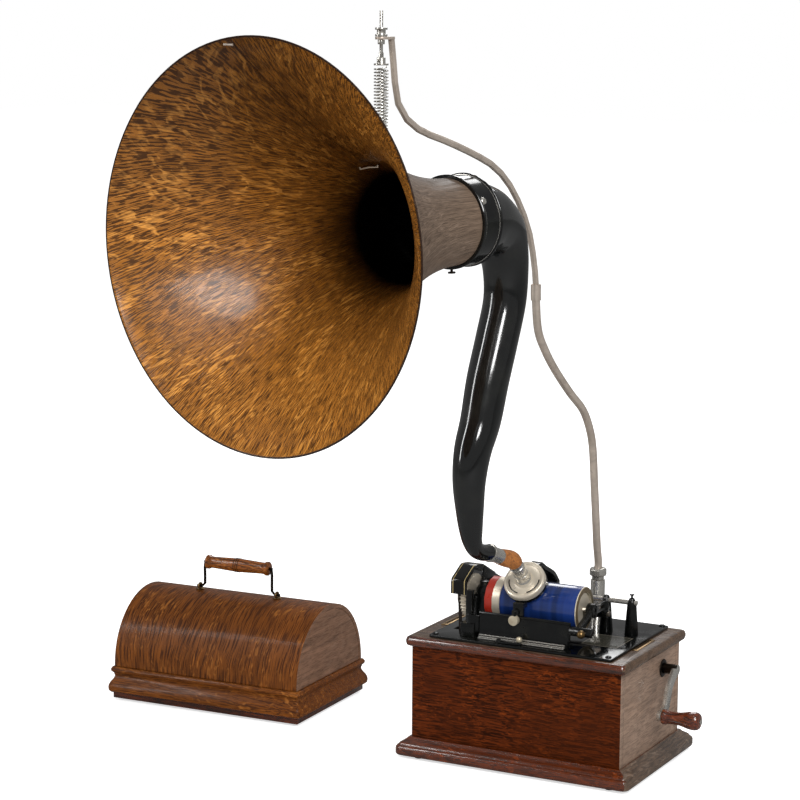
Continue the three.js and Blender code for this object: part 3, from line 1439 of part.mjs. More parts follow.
// Crank: shaft with its pinion, hub, curved arm and grip pin, and the turned grip
function makeCrank() {
  const angle = THREE.MathUtils.degToRad(crankArmAngle);
  const [gripY, gripZ] = [crankY + crankReach * Math.cos(angle), crankZ + crankReach * Math.sin(angle)];
  const armRight = crankArmLeft + crankArmThickness;
  const hub = rod(alongX, crankY, crankZ, crankHubRadius, caseWidth / 2 + seatGap, armRight, roundSides);
  const shaft = rod(alongX, crankY, crankZ, crankShaftRadius, windingGearLeft - crankShaftSpare,
    crankArmLeft);
  const [normalY, normalZ] = [-Math.sin(angle), Math.cos(angle)];
  const along = (share, sway) => [crankY + (gripY - crankY) * share + normalY * crankSway * sway,
    crankZ + (gripZ - crankZ) * share + normalZ * crankSway * sway];
  const armLine = crankSwayShares.map(([share, sway]) => along(share, sway));
  const arm = plate(alongX, band(armLine, crankArmWidth, someSides), crankArmLeft, armRight);
  const eye = rod(alongX, gripY, gripZ, crankArmWidth / 2 + overrun / 2, crankArmLeft, armRight,
    roundSides);
  const pinEnd = armRight + seatGap * 2 + gripLength;
  const pin = rod(alongX, gripY, gripZ, gripPinRadius, armRight - overrun, pinEnd + gripScrewThickness);
  const screw = rod(alongX, gripY, gripZ, gripScrewRadius, pinEnd, pinEnd + gripScrewThickness);
  const pinion = plate(alongX, gearOutline(crankPinionTeeth, motorModule, crankY, crankZ, motorAngle),
    windingGearLeft, windingGearLeft + windingGearThickness);
  add(phonograph, 'crank', join(hub, shaft, arm, eye, pin, screw, pinion), nickel);

  const gripLeft = armRight + seatGap;
  const rows = crankGripShares.map(([share, width]) => {
    const widest = share < crankGripWaistShare ? gripFlangeRadius : gripBulbRadius;
    return [width * widest, gripLeft + share * gripLength];
  });
  const bore = holeRadius(gripPinRadius + gripFit, roundSides);
  add(phonograph, 'crank_grip', turned(alongX, gripY, gripZ, [[bore, gripLeft], ...rows,
    [bore, gripLeft + gripLength], [bore, gripLeft]], roundSides), darkWood);
}

// Spring motor under the top board
function makeMotor() {
  const plateHole = (y, z, radius) => hole(alongX, y, z, radius + plateHoleFit, motorPlateLeft - overrun,
    motorPlateRight + motorPlateThickness + overrun);
  const plates = [motorPlateLeft, motorPlateRight].map((x) => box(x, x + motorPlateThickness,
    motorPlateFront,
    motorPlateBack, motorPlateBottom, motorPlateTop));
  const flanges = [[motorPlateLeft - motorFlange, motorPlateLeft],
    [motorPlateRight + motorPlateThickness,
      motorPlateRight + motorPlateThickness + motorFlange]].map(([x0, x1]) => box(
    x0, x1, motorPlateFront, motorPlateBack, motorPlateTop - motorPlateThickness, motorPlateTop));
  const corners = [[motorPlateFront + pillarInset, motorPlateBottom + pillarInset],
    [motorPlateFront + pillarInset, motorPlateTop - pillarInset],
    [motorPlateBack - pillarInset, motorPlateBottom + pillarInset],
    [arborY, motorPlateTop - pillarInset]];
  const pillars = corners.map(([y, z]) => rod(alongX, y, z, pillarRadius, motorPlateLeft, motorPlateRight
    + motorPlateThickness, fewSides));
  const frame = cut(join(plates[0], plates[1], ...flanges, ...pillars), plateHole(arborY, arborZ,
    barrelArborRadius),
    plateHole(crankY, crankZ, crankShaftRadius), plateHole(mandrelY, drivePulleyZ, driveShaftRadius),
    plateHole(governorY, governorZ, governorShaftRadius));
  add(phonograph, 'motor_frame', frame, steel);

  const rightFace = windingGearLeft + windingGearThickness;
  const barrel = turned(alongX, arborY, arborZ, [
    [0, motorPlateLeft], [barrelArborRadius, motorPlateLeft], [barrelArborRadius, barrelLeft],
    [barrelRadius, barrelLeft], [barrelRadius, barrelRight], [barrelArborRadius * 2, barrelRight],
    [barrelArborRadius * 2, windingGearLeft + overrun], [barrelArborRadius, rightFace],
    [barrelArborRadius, motorPlateRight + motorPlateThickness], [0, motorPlateRight + motorPlateThickness],
  ], fineSides);
  const halfTooth = Math.PI / windingTeeth;
  const wheel = plate(alongX, gearOutline(windingTeeth, motorModule, arborY, arborZ,
    motorAngle + Math.PI + halfTooth),
    windingGearLeft, rightFace);
  add(phonograph, 'spring_barrel', join(barrel, wheel), brass);

  const governorLeft = motorPlateLeft;
  const governorRight = motorPlateRight + motorPlateThickness;
  const shaft = rod(alongX, governorY, governorZ, governorShaftRadius, governorLeft, governorRight);
  const middle = (motorPlateLeft + windingGearLeft) / 2;
  const hub = rod(alongX, governorY, governorZ, governorHubRadius, middle - governorHubLength / 2,
    middle + governorHubLength / 2);
  const balls = [0, 1, 2].map((step) => {
    const turn = Math.PI * 2 * step / 3;
    const ball = new THREE.SphereGeometry(governorBallRadius, fewSides, fewSides);
    return ball.translate(middle, governorY + governorBallOffset * Math.cos(turn),
      governorZ + governorBallOffset * Math.sin(turn));
  });
  add(phonograph, 'governor', join(shaft, hub, ...balls), brass);
}

// Belt loop and the drive pulley below it
function makeDrive() {
  const left = pulleyLeft;
  const right = pulleyLeft + pulleyWidth;
  const groove = drivePulleyRadius - pulleyGroove;
  const shaftRight = left + driveShaftLength;
  add(phonograph, 'drive_pulley', turned(alongX, mandrelY, drivePulleyZ, [
    [0, left], [drivePulleyRadius, left], [drivePulleyRadius, left + pulleyLip], [groove, left + pulleyLip],
    [groove, right - pulleyLip], [drivePulleyRadius, right - pulleyLip], [drivePulleyRadius, right],
    [driveShaftRadius, right], [driveShaftRadius, shaftRight - drivePinionLength],
    [drivePinionRadius, shaftRight - drivePinionLength], [drivePinionRadius, shaftRight], [0, shaftRight],
  ], roundSides), brass);

  const upper = [mandrelY, mandrelZ];
  const lower = [mandrelY, drivePulleyZ];
  const upperInside = pulleyRadius - pulleyGroove + seatGap;
  const lowerInside = groove + seatGap;
  const outer = strap(upper, upperInside + beltThickness, lower, lowerInside + beltThickness, roundSides);
  const inner = strap(upper, upperInside, lower, lowerInside, roundSides);
  add(phonograph, 'drive_belt', plate(alongX, outer, left + pulleyLip + seatGap,
    right - pulleyLip - seatGap,
    [inner]), leatherBelt);
}

// Lid beside the machine: moulded rim, half-round vault, end boards, latch plates and bail
function makeLid() {
  const lid = new THREE.Group();
  lid.position.set(lidX, lidY, -footHeight);
  lid.rotation.z = THREE.MathUtils.degToRad(lidYaw);
  phonograph.add(lid);

  const rimTop = lidRimBottom + lidRimHeight;
  const rows = lidRimShares.map(([inset, height]) => [inset * lidWallInset,
    lidRimBottom + height * lidRimHeight]);
  const rimSolid = mouldedBlock(topWidth, topDepth, lidRimCorner, topEdge, rows);
  const innerX = topWidth / 2 - lidRimWall;
  const innerY = topDepth / 2 - lidRimWallSide;
  const well = box(-innerX, innerX, -innerY, innerY, 0, rimTop + overrun);
  add(lid, 'lid_moulding', cut(rimSolid, well), lidOak);

  const radius = topDepth / 2 - lidWallInset;
  const bottom = rimTop + seatGap;
  const centreZ = bottom + vaultRise;
  const endX = topWidth / 2 - lidWallInset;
  const boardX = endX - lidEndThickness;
  const innerRadius = radius - vaultWall;
  const boardRadius = innerRadius - seatGap;
  const arch = (reach) => [[reach, bottom], ...arc(0, centreZ, reach, 0, Math.PI, fineSides),
    [-reach, bottom]];
  const vaultOutline = [...arch(radius), ...arch(innerRadius).reverse()];
  add(lid, 'lid_vault', plate(alongX, vaultOutline, -endX, endX), lidOak);
  add(lid, 'lid_end_left', plate(alongX, arch(boardRadius), -endX, -boardX), lidOak);
  add(lid, 'lid_end_right', plate(alongX, arch(boardRadius), boardX, endX), lidOak);

  const latchFace = innerX - seatGap;
  for (const [name, side] of [['latch_left', -1], ['latch_right', 1]]) {
    const [x0, x1] = [side * latchFace, side * (latchFace - latchPlateThickness)].sort((a, b) => a - b);
    const latch = box(x0, x1, latchPlateOffset - latchPlateWidth / 2,
      latchPlateOffset + latchPlateWidth / 2,
      0, latchPlateHeight);
    add(lid, name, latch, steel);
  }

  const vaultTop = centreZ + radius;
  const plateTop = vaultTop + seatGap + eyePlateThickness;
  const eyeZ = vaultTop + eyeAbove;
  for (const [name, side] of [['bail_eye_left', -1], ['bail_eye_right', 1]]) {
    const x = side * eyeFromCentre;
    const ring = rod(alongX, 0, eyeZ, eyeRadius + eyeWire, x - eyeWire, x + eyeWire);
    const eyeHole = rod(alongX, 0, eyeZ, eyeRadius - eyeWire, x - overrun, x + overrun);
    const stand = rod(alongZ, x, 0, eyePlateRadius, vaultTop + seatGap, plateTop);
    add(lid, name, join(cut(ring, eyeHole, box(x - overrun, x + overrun, -eyePlateRadius, eyePlateRadius,
      vaultTop - overrun, vaultTop + seatGap)), stand), brass);
  }

  const gripZ = eyeZ + bailHeight;
  const bendStart = bailHeight - bailCornerRadius * 2;
  const half = [[eyeFromCentre + bailHookOut, 0], [eyeFromCentre - bailHookOut, 0],
    [bailArmX + bailCornerRadius / 3, bailCornerRadius / 3], [bailArmX, bailCornerRadius * 2],
    [bailArmX, bailHeight / 2], [bailArmX, bendStart],
    [bailArmX - bailCornerRadius / 3, bailHeight - bailCornerRadius / 3],
    [bailArmX - bailCornerRadius * 2, bailHeight]];
  const mirrored = half.map(([x, z]) => [-x, z]).reverse();
  const wire = [...half, ...mirrored].map(([x, z]) => new THREE.Vector3(x, 0, eyeZ + z));
  add(lid, 'lid_bail', tube(wire, bailWire, fewSides, fineSides), steel);

  const bore = holeRadius(bailWire + lidGripFit, roundSides);
  const firstHalf = lidGripShares.map(([share, width]) => [width * lidGripRadius,
    share * lidGripLength - lidGripLength / 2]);
  const secondHalf = firstHalf.slice(0, -1).map(([width, place]) => [width, -place]).reverse();
  add(lid, 'lid_grip', turned(alongX, 0, gripZ, [[bore, -lidGripLength / 2], ...firstHalf, ...secondHalf,
    [bore, lidGripLength / 2], [bore, -lidGripLength / 2]], roundSides), darkWood);
}

makeCase();
makeDeck();
makeMainFrame();
makeGearCover();
makeMandrel();
makeFeedScrew();
makePosts();
makeEndGate();
makeStraightEdge();
makeStartLever();
makeSleeve();
makeArm();
makeLiftLever();
makeReproducer();
makeHorn();
makeFerrule();
makeLoop();
makeHook();
makeSpring();
makeHanger();
makeCrane();
makeCrank();
makeMotor();
makeDrive();
makeLid();

export default phonograph;
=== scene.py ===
"""Cylinder phonograph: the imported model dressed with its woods, metals and finer pieces."""
import json
import math

import bpy
from bpy.props import FloatProperty, FloatVectorProperty, IntProperty, PointerProperty
from mathutils import Matrix, Vector


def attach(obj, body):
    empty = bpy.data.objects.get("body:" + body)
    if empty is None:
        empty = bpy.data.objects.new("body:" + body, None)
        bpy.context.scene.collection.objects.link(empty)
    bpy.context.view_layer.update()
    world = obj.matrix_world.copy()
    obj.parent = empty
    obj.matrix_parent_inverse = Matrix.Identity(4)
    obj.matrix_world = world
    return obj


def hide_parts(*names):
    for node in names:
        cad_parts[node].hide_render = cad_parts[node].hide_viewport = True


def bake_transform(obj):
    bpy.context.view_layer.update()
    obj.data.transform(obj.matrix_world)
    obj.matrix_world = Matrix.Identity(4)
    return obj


bl_info = {
    "name": "Cylinder Phonograph",
    "version": (1, 0, 0),
    "blender": (4, 5, 0),
    "location": "View3D > Sidebar > Phonograph",
    "description": "Dresses the cylinder phonograph with woods, metals and its finer pieces",
    "category": "Object",
}

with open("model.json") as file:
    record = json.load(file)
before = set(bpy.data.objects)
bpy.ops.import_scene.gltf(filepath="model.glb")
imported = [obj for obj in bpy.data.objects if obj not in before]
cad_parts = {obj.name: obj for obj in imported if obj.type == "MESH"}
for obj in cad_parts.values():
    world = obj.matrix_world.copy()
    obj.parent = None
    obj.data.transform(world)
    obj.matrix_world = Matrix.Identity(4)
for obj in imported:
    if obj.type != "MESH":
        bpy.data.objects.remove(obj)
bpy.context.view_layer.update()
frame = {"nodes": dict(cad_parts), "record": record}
NODES = frame["nodes"]
BODY_OF = {n: body for body, nodes in frame["record"]["behaviour"]["bodies"].items() for n in nodes}
MM = 0.001
ALONG_X = Vector((1, 0, 0))
CURVE_STEPS = 5
FINISH = {}

# Distances in metres within which points are merged, in copies and where a lathe piece closes
WELD = 0.000002
POLE_WELD = 0.000005

# Lengths of the finishes in metres: the veneer's map, the grain, the gold lines and the bed's painted
# reflection patch
VENEER_RADIUS = 0.2
SEAM_TURN = VENEER_RADIUS * math.tau
GRAIN_SWAY = 0.024
LINE_BLUR = 0.0002
GOLD_LINE = 0.0003
HOOD_LINES = (-0.1040, -0.0878)
PATCH_BORDER = 0.0011
BED_PATCH = (0.09, -0.015, 0.0245, 0.027)


def mm(*values):
    """A point in metres from millimetres."""
    return Vector(values) * MM


def shade(code):
    """The linear colour of a six-digit screen colour."""
    channels = [int(code[i:i + 2], 16) / 255 for i in (0, 2, 4)]
    return tuple(c / 12.92 if c <= 0.04045 else ((c + 0.055) / 1.055) ** 2.4 for c in channels)


def colour(name, about, code):
    """A colour setting of a finish."""
    return FloatVectorProperty(name=name, description=about, subtype="COLOR", size=3, min=0, max=1,
                               default=shade(code))


def length(name, about, value):
    """A length setting, given in millimetres and kept in metres."""
    return FloatProperty(name=name, description=about, default=value * MM, min=0, unit="LENGTH",
                         subtype="DISTANCE")


def power(name, about, value):
    """A lamp's power setting in watts."""
    return FloatProperty(name=name, description=about, default=value, min=0, unit="POWER")


def brightness(name, about, value):
    """A setting of the room's light."""
    return FloatProperty(name=name, description=about, default=value, min=0)


class PhonographWoods(bpy.types.PropertyGroup):
    """Colours of the oak parts and the turned grips."""
    case_pore: colour("Case pores", "Dark pores in the oak of the case", "170803")
    case_ground: colour("Case ground", "Varnished red-brown ground of the case", "62290b")
    case_fleck: colour("Case fleck", "Lighter figure in the case", "8a3d10")
    # Painted light: the sides' warm grey copies the front's oak where the light from the right and its sheen
    # fall on it, not a faded oak
    side_pore: colour("Side pores", "Dark pores on the faded sides", "54443a")
    side_ground: colour("Side ground", "Faded warm grey ground of the sides", "987f6d")
    side_fleck: colour("Side fleck", "Lighter figure of the sides", "a8917e")
    top_pore: colour("Top pores", "Dark pores in the top board", "2a1f18")
    top_ground: colour("Top ground", "Satin brown ground of the top board", "665242")
    top_fleck: colour("Top fleck", "Lighter figure of the top board", "82695a")
    lid_pore: colour("Lid pores", "Dark streaks over the arch", "281006")
    lid_ground: colour("Lid ground", "Orange-brown ground of the lid", "7f4718")
    lid_fleck: colour("Lid fleck", "Lighter streaks over the arch", "b87432")
    end_ground: colour("Lid end ground", "Grey-brown ground of the lid's ends", "8e6a53")
    horn_pore: colour("Horn pores", "Dark pores inside the horn", "241004")
    horn_ground: colour("Horn ground", "Golden-brown ground inside the horn", "b2722b")
    horn_fleck: colour("Horn fleck", "Orange ray flecks inside the horn", "e09a45")
    horn_back: colour("Horn outside", "Dull grey-brown outside of the horn", "7a6757")
    # Painted shade: this near-black stands in for the shadow deep in the horn's throat
    throat: colour("Horn throat", "Near-black depth of the horn's throat", "020101")
    grip: colour("Crank grip", "Dark red-brown turned wood", "6b2c12")
    grip_light: colour("Grip figure", "Lighter figure in the turned wood", "96502a")
    bail_grip: colour("Lid grip", "Orange-brown turned wood of the lid's grip", "98551f")


class PhonographMetals(bpy.types.PropertyGroup):
    """Colours of the metals, the enamel and the record."""
    nickel: colour("Nickel", "Aged nickel plate", "d2cfc8")
    nickel_stain: colour("Nickel stain", "Tarnish on the nickel plate", "8f877a")
    satin: colour("Satin nickel", "Cream-white satin nickel of the reproducer", "ded3c0")
    steel: colour("Steel", "Dull grey-brown steel of the crane", "d6c8ba")
    steel_stain: colour("Steel stain", "Darker places on the steel", "8d8074")
    brass: colour("Brass", "Aged brass", "94784f")
    brass_stain: colour("Brass stain", "Darker places on the brass", "5c4830")
    enamel: colour("Enamel", "Black enamel of the works", "070808")
    # Dust and wear on the enamel, and also the lighter inside of the bed's patch, where it is painted
    # reflection
    enamel_wear_and_reflection: colour("Worn enamel", "Greyer, dusty places on the enamel", "24251f")
    dull: colour("Dark bronze", "Near-black bronze of the bail and its eyes", "3a322b")
    stripe: colour("Pinstripe", "Old gold line on the enamel", "c8b27c")
    red: colour("Red band", "Red enamel of the mandrel's flange", "a12a1b")
    record: colour("Record", "Deep blue celluloid", "193372")
    record_deep: colour("Record shade", "Darker blue in the grooves", "11244f")
    plaster: colour("Record rim", "Pale core that shows at the record's ends", "d8cdb4")
    drum_end: colour("Mandrel end", "Olive-brown recessed end of the mandrel", "544c38")
    gum: colour("Gum rubber", "Old orange-brown rubber of the connector", "a8672a")
    gum_dark: colour("Rubber cracks", "Dark cracks in the connector", "5a3110")
    leather: colour("Belt", "Dark leather belt", "2a1b12")
    foot: colour("Feet", "Hard black rubber feet", "141312")


class PhonographSizes(bpy.types.PropertyGroup):
    """Sizes that the finer pieces follow."""
    horn_steps: IntProperty(name="Steps of the horn", description="Steps in a full turn of the bell",
                            default=128, min=24)
    screw: length("Screw head", "Radius of the bedplate's screw heads", 4.0)
    bell_wall: length("Bell wall", "Thickness of the wooden bell", 3.2)


class PhonographStage(bpy.types.PropertyGroup):
    """The floor and the light."""
    floor: colour("Floor", "Plain pale floor", "f2f2f2")
    mirrored_floor: colour("Mirrored floor", "The floor in reflections", "7a7a7a")
    key: power("Key light", "Power of the light at the right", 112.0)
    fill: power("Fill light", "Power of the softer lights", 24.0)
    glow: brightness("Floor glow", "Light that the floor gives to the camera alone", 0.62)
    air: brightness("Room light", "Strength of the even room light", 0.6)
    mirrored: brightness("Mirrored room", "Strength of the room in reflections", 0.22)


def only(obj):
    """Makes one object the selected and active one."""
    bpy.ops.object.select_all(action="DESELECT")
    obj.select_set(True)
    bpy.context.view_layer.objects.active = obj


def edit(kind="VERT"):
    """Enters edit mode with everything selected."""
    bpy.ops.object.mode_set(mode="EDIT")
    bpy.ops.mesh.select_mode(type=kind)
    bpy.ops.mesh.select_all(action="SELECT")


def leave():
    """Leaves edit mode."""
    bpy.ops.object.mode_set(mode="OBJECT")


def smooth(obj, angle=35):
    """Shades an object smooth up to an angle in degrees."""
    only(obj)
    bpy.ops.object.shade_smooth_by_angle(angle=math.radians(angle), keep_sharp_edges=True)
    return obj


def settle(obj, matrix=None):
    """Puts an object where its matrix says and applies that to its mesh."""
    only(obj)
    if matrix is not None:
        obj.matrix_world = matrix
    bpy.ops.object.transform_apply(location=True, rotation=True, scale=True)
    return obj


def soften(obj, edge, segments=2, angle=32):
    """A small bevel, with its width in millimetres, along the sharp edges."""
    only(obj)
    bevel = obj.modifiers.new("edge", "BEVEL")
    bevel.width = edge * MM
    bevel.segments = segments
    bevel.limit_method = "ANGLE"
    bevel.angle_limit = math.radians(angle)
    bevel.use_clamp_overlap = True
    bevel.harden_normals = False
    bpy.ops.object.modifier_apply(modifier=bevel.name)


def dress(obj, body, finish, replaced=()):
    """Gives a piece its finish, its body and the CAD nodes that it stands for."""
    obj.data.materials.clear()
    obj.data.materials.append(FINISH[finish])
    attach(obj, body)
    if replaced:
        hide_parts(*replaced)
    return obj


def round_off(obj, chosen, width, segments):
    """Rounds the edges that a test of their middle, in millimetres, and direction picks."""
    only(obj)
    edit("EDGE")
    bpy.ops.mesh.select_all(action="DESELECT")
    leave()
    vertices = obj.data.vertices
    for line in obj.data.edges:
        first, last = (vertices[i].co / MM for i in line.vertices)
        line.select = chosen((first + last) / 2, (last - first).normalized())
    bpy.ops.object.mode_set(mode="EDIT")
    bpy.ops.mesh.bevel(offset=width * MM, offset_type="OFFSET", segments=segments, profile=0.5,
                       affect="EDGES")
    leave()


def paint(obj, finish, chosen):
    """Gives another finish to the faces that a test of their middle, in millimetres, and normal picks."""
    obj.data.materials.append(FINISH[finish])
    index = len(obj.data.materials) - 1
    for face in obj.data.polygons:
        if chosen(face.center / MM, face.normal):
            face.material_index = index


def recut(node, name, finish, edge=0.4, angle=32, segments=2, rounding=None):
    """A welded copy of a CAD node with softened edges and smooth rounds, in place of the node."""
    copy = NODES[node].copy()
    copy.data = NODES[node].data.copy()
    copy.name = name
    bpy.context.scene.collection.objects.link(copy)
    copy.parent = None
    for key in list(copy.keys()):
        del copy[key]
    only(copy)
    edit()
    bpy.ops.mesh.remove_doubles(threshold=WELD)
    bpy.ops.mesh.dissolve_limited(angle_limit=math.radians(0.5))
    leave()
    if rounding:
        round_off(copy, *rounding)
    if edge > 0:
        soften(copy, edge, segments, angle)
    smooth(copy, angle)
    return dress(copy, BODY_OF[node], finish, [node])


def basis(x, y, z, origin):
    """A placing matrix from three directions and an origin."""
    rows = [[x[i], y[i], z[i], origin[i]] for i in range(3)]
    return Matrix(rows + [[0, 0, 0, 1]])


def along_x(y, z):
    """Places a lathe piece on an axis that runs along X."""
    return basis(Vector((0, 1, 0)), Vector((0, 0, 1)), Vector((1, 0, 0)), mm(0, y, z))


def upright(x, y, z=0):
    """Places a lathe piece on a vertical axis."""
    return Matrix.Translation(mm(x, y, z))


def facing(direction, origin):
    """A placing matrix whose Z runs along a direction."""
    return Matrix.Translation(origin) @ Vector(direction).to_track_quat("Z", "Y").to_matrix().to_4x4()


def lathe(name, profile, place, steps, angle=35, closed=False):
    """Extrudes a point along a profile of (radius, height) in millimetres and spins it round."""
    bpy.ops.object.select_all(action="DESELECT")
    bpy.ops.mesh.primitive_plane_add(size=MM, location=(0, 0, 0))
    obj = bpy.context.object
    obj.name = name
    edit()
    bpy.ops.mesh.merge(type="CENTER")
    bpy.ops.transform.translate(value=(profile[0][0] * MM, 0, profile[0][1] * MM))
    points = list(profile) + ([profile[0]] if closed else [])
    for (r0, z0), (r1, z1) in zip(points, points[1:]):
        step = ((r1 - r0) * MM, 0, (z1 - z0) * MM)
        bpy.ops.mesh.extrude_region_move(TRANSFORM_OT_translate={"value": step})
    bpy.ops.mesh.select_all(action="SELECT")
    bpy.ops.mesh.spin(steps=steps, angle=math.tau, center=(0, 0, 0), axis=(0, 0, 1))
    bpy.ops.mesh.select_all(action="SELECT")
    bpy.ops.mesh.remove_doubles(threshold=POLE_WELD)
    bpy.ops.mesh.normals_make_consistent(inside=False)
    leave()
    settle(obj, place)
    return smooth(obj, angle)


def rounded(points):
    """Points or values on a smooth curve through the given ones, CURVE_STEPS for each."""
    rows = []
    last = len(points) - 1
    for i in range(last):
        a, b, c, d = (points[max(0, min(last, i + k))] for k in (-1, 0, 1, 2))
        for k in range(CURVE_STEPS):
            t = k / CURVE_STEPS
            rows.append(0.5 * (2 * b + (c - a) * t + (2 * a - 5 * b + 4 * c - d) * t * t
                               + (3 * b - a - 3 * c + d) * t ** 3))
    rows.append(points[last])
    return rows


def sweep(name, points, radii, sides):
    """A round bar along points in metres, with one radius in millimetres or one for each point."""
    bpy.ops.object.select_all(action="DESELECT")
    bpy.ops.curve.primitive_bezier_curve_add(location=(0, 0, 0))
    obj = bpy.context.object
    obj.name = name
    data = obj.data
    data.splines.clear()
    spline = data.splines.new("POLY")
    spline.points.add(len(points) - 1)
    for i, point in enumerate(points):
        spline.points[i].co = (*point, 1)
        spline.points[i].radius = radii[i] if isinstance(radii, list) else radii
    data.twist_mode = "MINIMUM"
    data.bevel_depth = MM
    data.bevel_resolution = sides // 2 - 2
    data.use_fill_caps = True
    only(obj)
    bpy.ops.object.convert(target="MESH")
    obj = bpy.context.object
    edit()
    bpy.ops.mesh.remove_doubles(threshold=WELD)
    bpy.ops.mesh.normals_make_consistent(inside=False)
    leave()
    return smooth(obj, 40)


def cutter(middle, size, turn=0.0):
    """A plain block about a middle, in millimetres, turned about the vertical."""
    bpy.ops.object.select_all(action="DESELECT")
    bpy.ops.mesh.primitive_cube_add(size=1, location=mm(*middle))
    obj = bpy.context.object
    obj.scale = mm(*size)
    obj.rotation_euler = (0, 0, turn)
    return settle(obj)


def block(name, middle, size, edge=0.4):
    """A softened block about a middle, in millimetres."""
    obj = cutter(middle, size)
    obj.name = name
    soften(obj, edge)
    return smooth(obj)


def joined(name, pieces):
    """Several meshes as one piece."""
    bpy.ops.object.select_all(action="DESELECT")
    for piece in pieces:
        piece.select_set(True)
    bpy.context.view_layer.objects.active = pieces[0]
    bpy.ops.object.join()
    pieces[0].name = name
    return pieces[0]


def carve(obj, tool):
    """Cuts a tool out of a piece."""
    only(obj)
    modifier = obj.modifiers.new("cut", "BOOLEAN")
    modifier.operation = "DIFFERENCE"
    modifier.object = tool
    modifier.solver = "EXACT"
    bpy.ops.object.modifier_apply(modifier=modifier.name)
    bpy.data.objects.remove(tool)


def screw_head(name, place, radius, height, slot_turn):
    """A domed screw head with its slot, its seat at the placing matrix's origin."""
    steps = 6
    wall = height / 4
    dome = [(0, 0), (radius, 0), (radius, wall)]
    for i in range(1, steps):
        turn = math.pi / 2 * i / steps
        dome.append((radius * math.cos(turn), wall + (height - wall) * math.sin(turn)))
    dome.append((0, height))
    head = lathe(name, dome, Matrix.Identity(4), 28, 50)
    carve(head, cutter((0, 0, height), (radius * 2.4, radius * 0.28, height * 0.9), slot_turn))
    settle(head, place)
    return smooth(head)


class Recipe:
    """Builds one finish, a node material, step by step."""

    def __init__(self, name):
        self.material = bpy.data.materials.new(name)
        FINISH[name] = self.material
        self.material.use_nodes = True
        self.tree = self.material.node_tree
        self.tree.nodes.clear()
        self.out = self.add("ShaderNodeOutputMaterial")
        self.shader = self.add("ShaderNodeBsdfPrincipled")
        self.tree.links.new(self.shader.outputs[0], self.out.inputs[0])
        self.coordinates = self.add("ShaderNodeTexCoord").outputs["Object"]

    def add(self, kind, **settings):
        """A node with its settings."""
        made = self.tree.nodes.new(kind)
        for key, value in settings.items():
            setattr(made, key, value)
        return made

    def feed(self, socket, value):
        """A link or a plain value into a socket."""
        if isinstance(value, bpy.types.NodeSocket):
            self.tree.links.new(value, socket)
        elif socket.type == "RGBA":
            socket.default_value = (*value[:3], 1)
        else:
            socket.default_value = value

    def set(self, **values):
        """Values of the shader's sockets, with underscores for spaces."""
        for key, value in values.items():
            self.feed(self.shader.inputs[key.replace("_", " ")], value)

    def placed(self, scale=(1, 1, 1), turn=(0, 0, 0), source=None):
        """Scaled and turned coordinates."""
        made = self.add("ShaderNodeMapping")
        self.feed(made.inputs["Vector"], source or self.coordinates)
        made.inputs["Scale"].default_value = scale
        made.inputs["Rotation"].default_value = turn
        return made.outputs[0]

    def noise(self, vector, scale, detail=3.0, rough=0.5, distortion=0.0):
        """A noise value."""
        made = self.add("ShaderNodeTexNoise")
        self.feed(made.inputs["Vector"], vector)
        made.inputs["Scale"].default_value = scale
        made.inputs["Detail"].default_value = detail
        made.inputs["Roughness"].default_value = rough
        made.inputs["Distortion"].default_value = distortion
        return made.outputs["Fac"]

    def ramp(self, value, low, high, a=0.0, b=1.0):
        """A value stretched from low..high to a..b."""
        made = self.add("ShaderNodeMapRange")
        made.clamp = True
        self.feed(made.inputs["Value"], value)
        for key, number in (("From Min", low), ("From Max", high), ("To Min", a), ("To Max", b)):
            made.inputs[key].default_value = number
        return made.outputs["Result"]

    def maths(self, kind, a, b=0.0):
        """A Math node of one or two values."""
        made = self.add("ShaderNodeMath", operation=kind)
        self.feed(made.inputs[0], a)
        self.feed(made.inputs[1], b)
        return made.outputs[0]

    def plus(self, a, b):
        """Two values added."""
        return self.maths("ADD", a, b)

    def minus(self, a, b):
        """One value less another."""
        return self.maths("SUBTRACT", a, b)

    def times(self, a, b):
        """Two values multiplied."""
        return self.maths("MULTIPLY", a, b)

    def mix(self, share, a, b):
        """Two colours mixed by a share."""
        made = self.add("ShaderNodeMix", data_type="RGBA")
        self.feed(made.inputs["Factor"], share)
        self.feed(made.inputs[6], a)
        self.feed(made.inputs[7], b)
        return made.outputs[2]

    def bump(self, height, strength, distance):
        """A bump from a height value."""
        made = self.add("ShaderNodeBump")
        made.inputs["Strength"].default_value = strength
        made.inputs["Distance"].default_value = distance
        self.feed(made.inputs["Height"], height)
        self.feed(self.shader.inputs["Normal"], made.outputs[0])

    def part(self, axis, source=None):
        """One of the three coordinates."""
        made = self.add("ShaderNodeSeparateXYZ")
        self.feed(made.inputs[0], source or self.coordinates)
        return made.outputs[axis]

    def line(self, axis, centre, half):
        """One within a half width, in metres, of a centre on an axis, else nothing."""
        away = self.maths("ABSOLUTE", self.minus(self.part(axis), centre))
        return self.ramp(away, half, half + LINE_BLUR, 1.0, 0.0)


def stretched(along, slow, fast):
    """Noise scales that run slowly along the named axes and fast across them."""
    return tuple(slow if axis in along else fast for axis in "xyz")


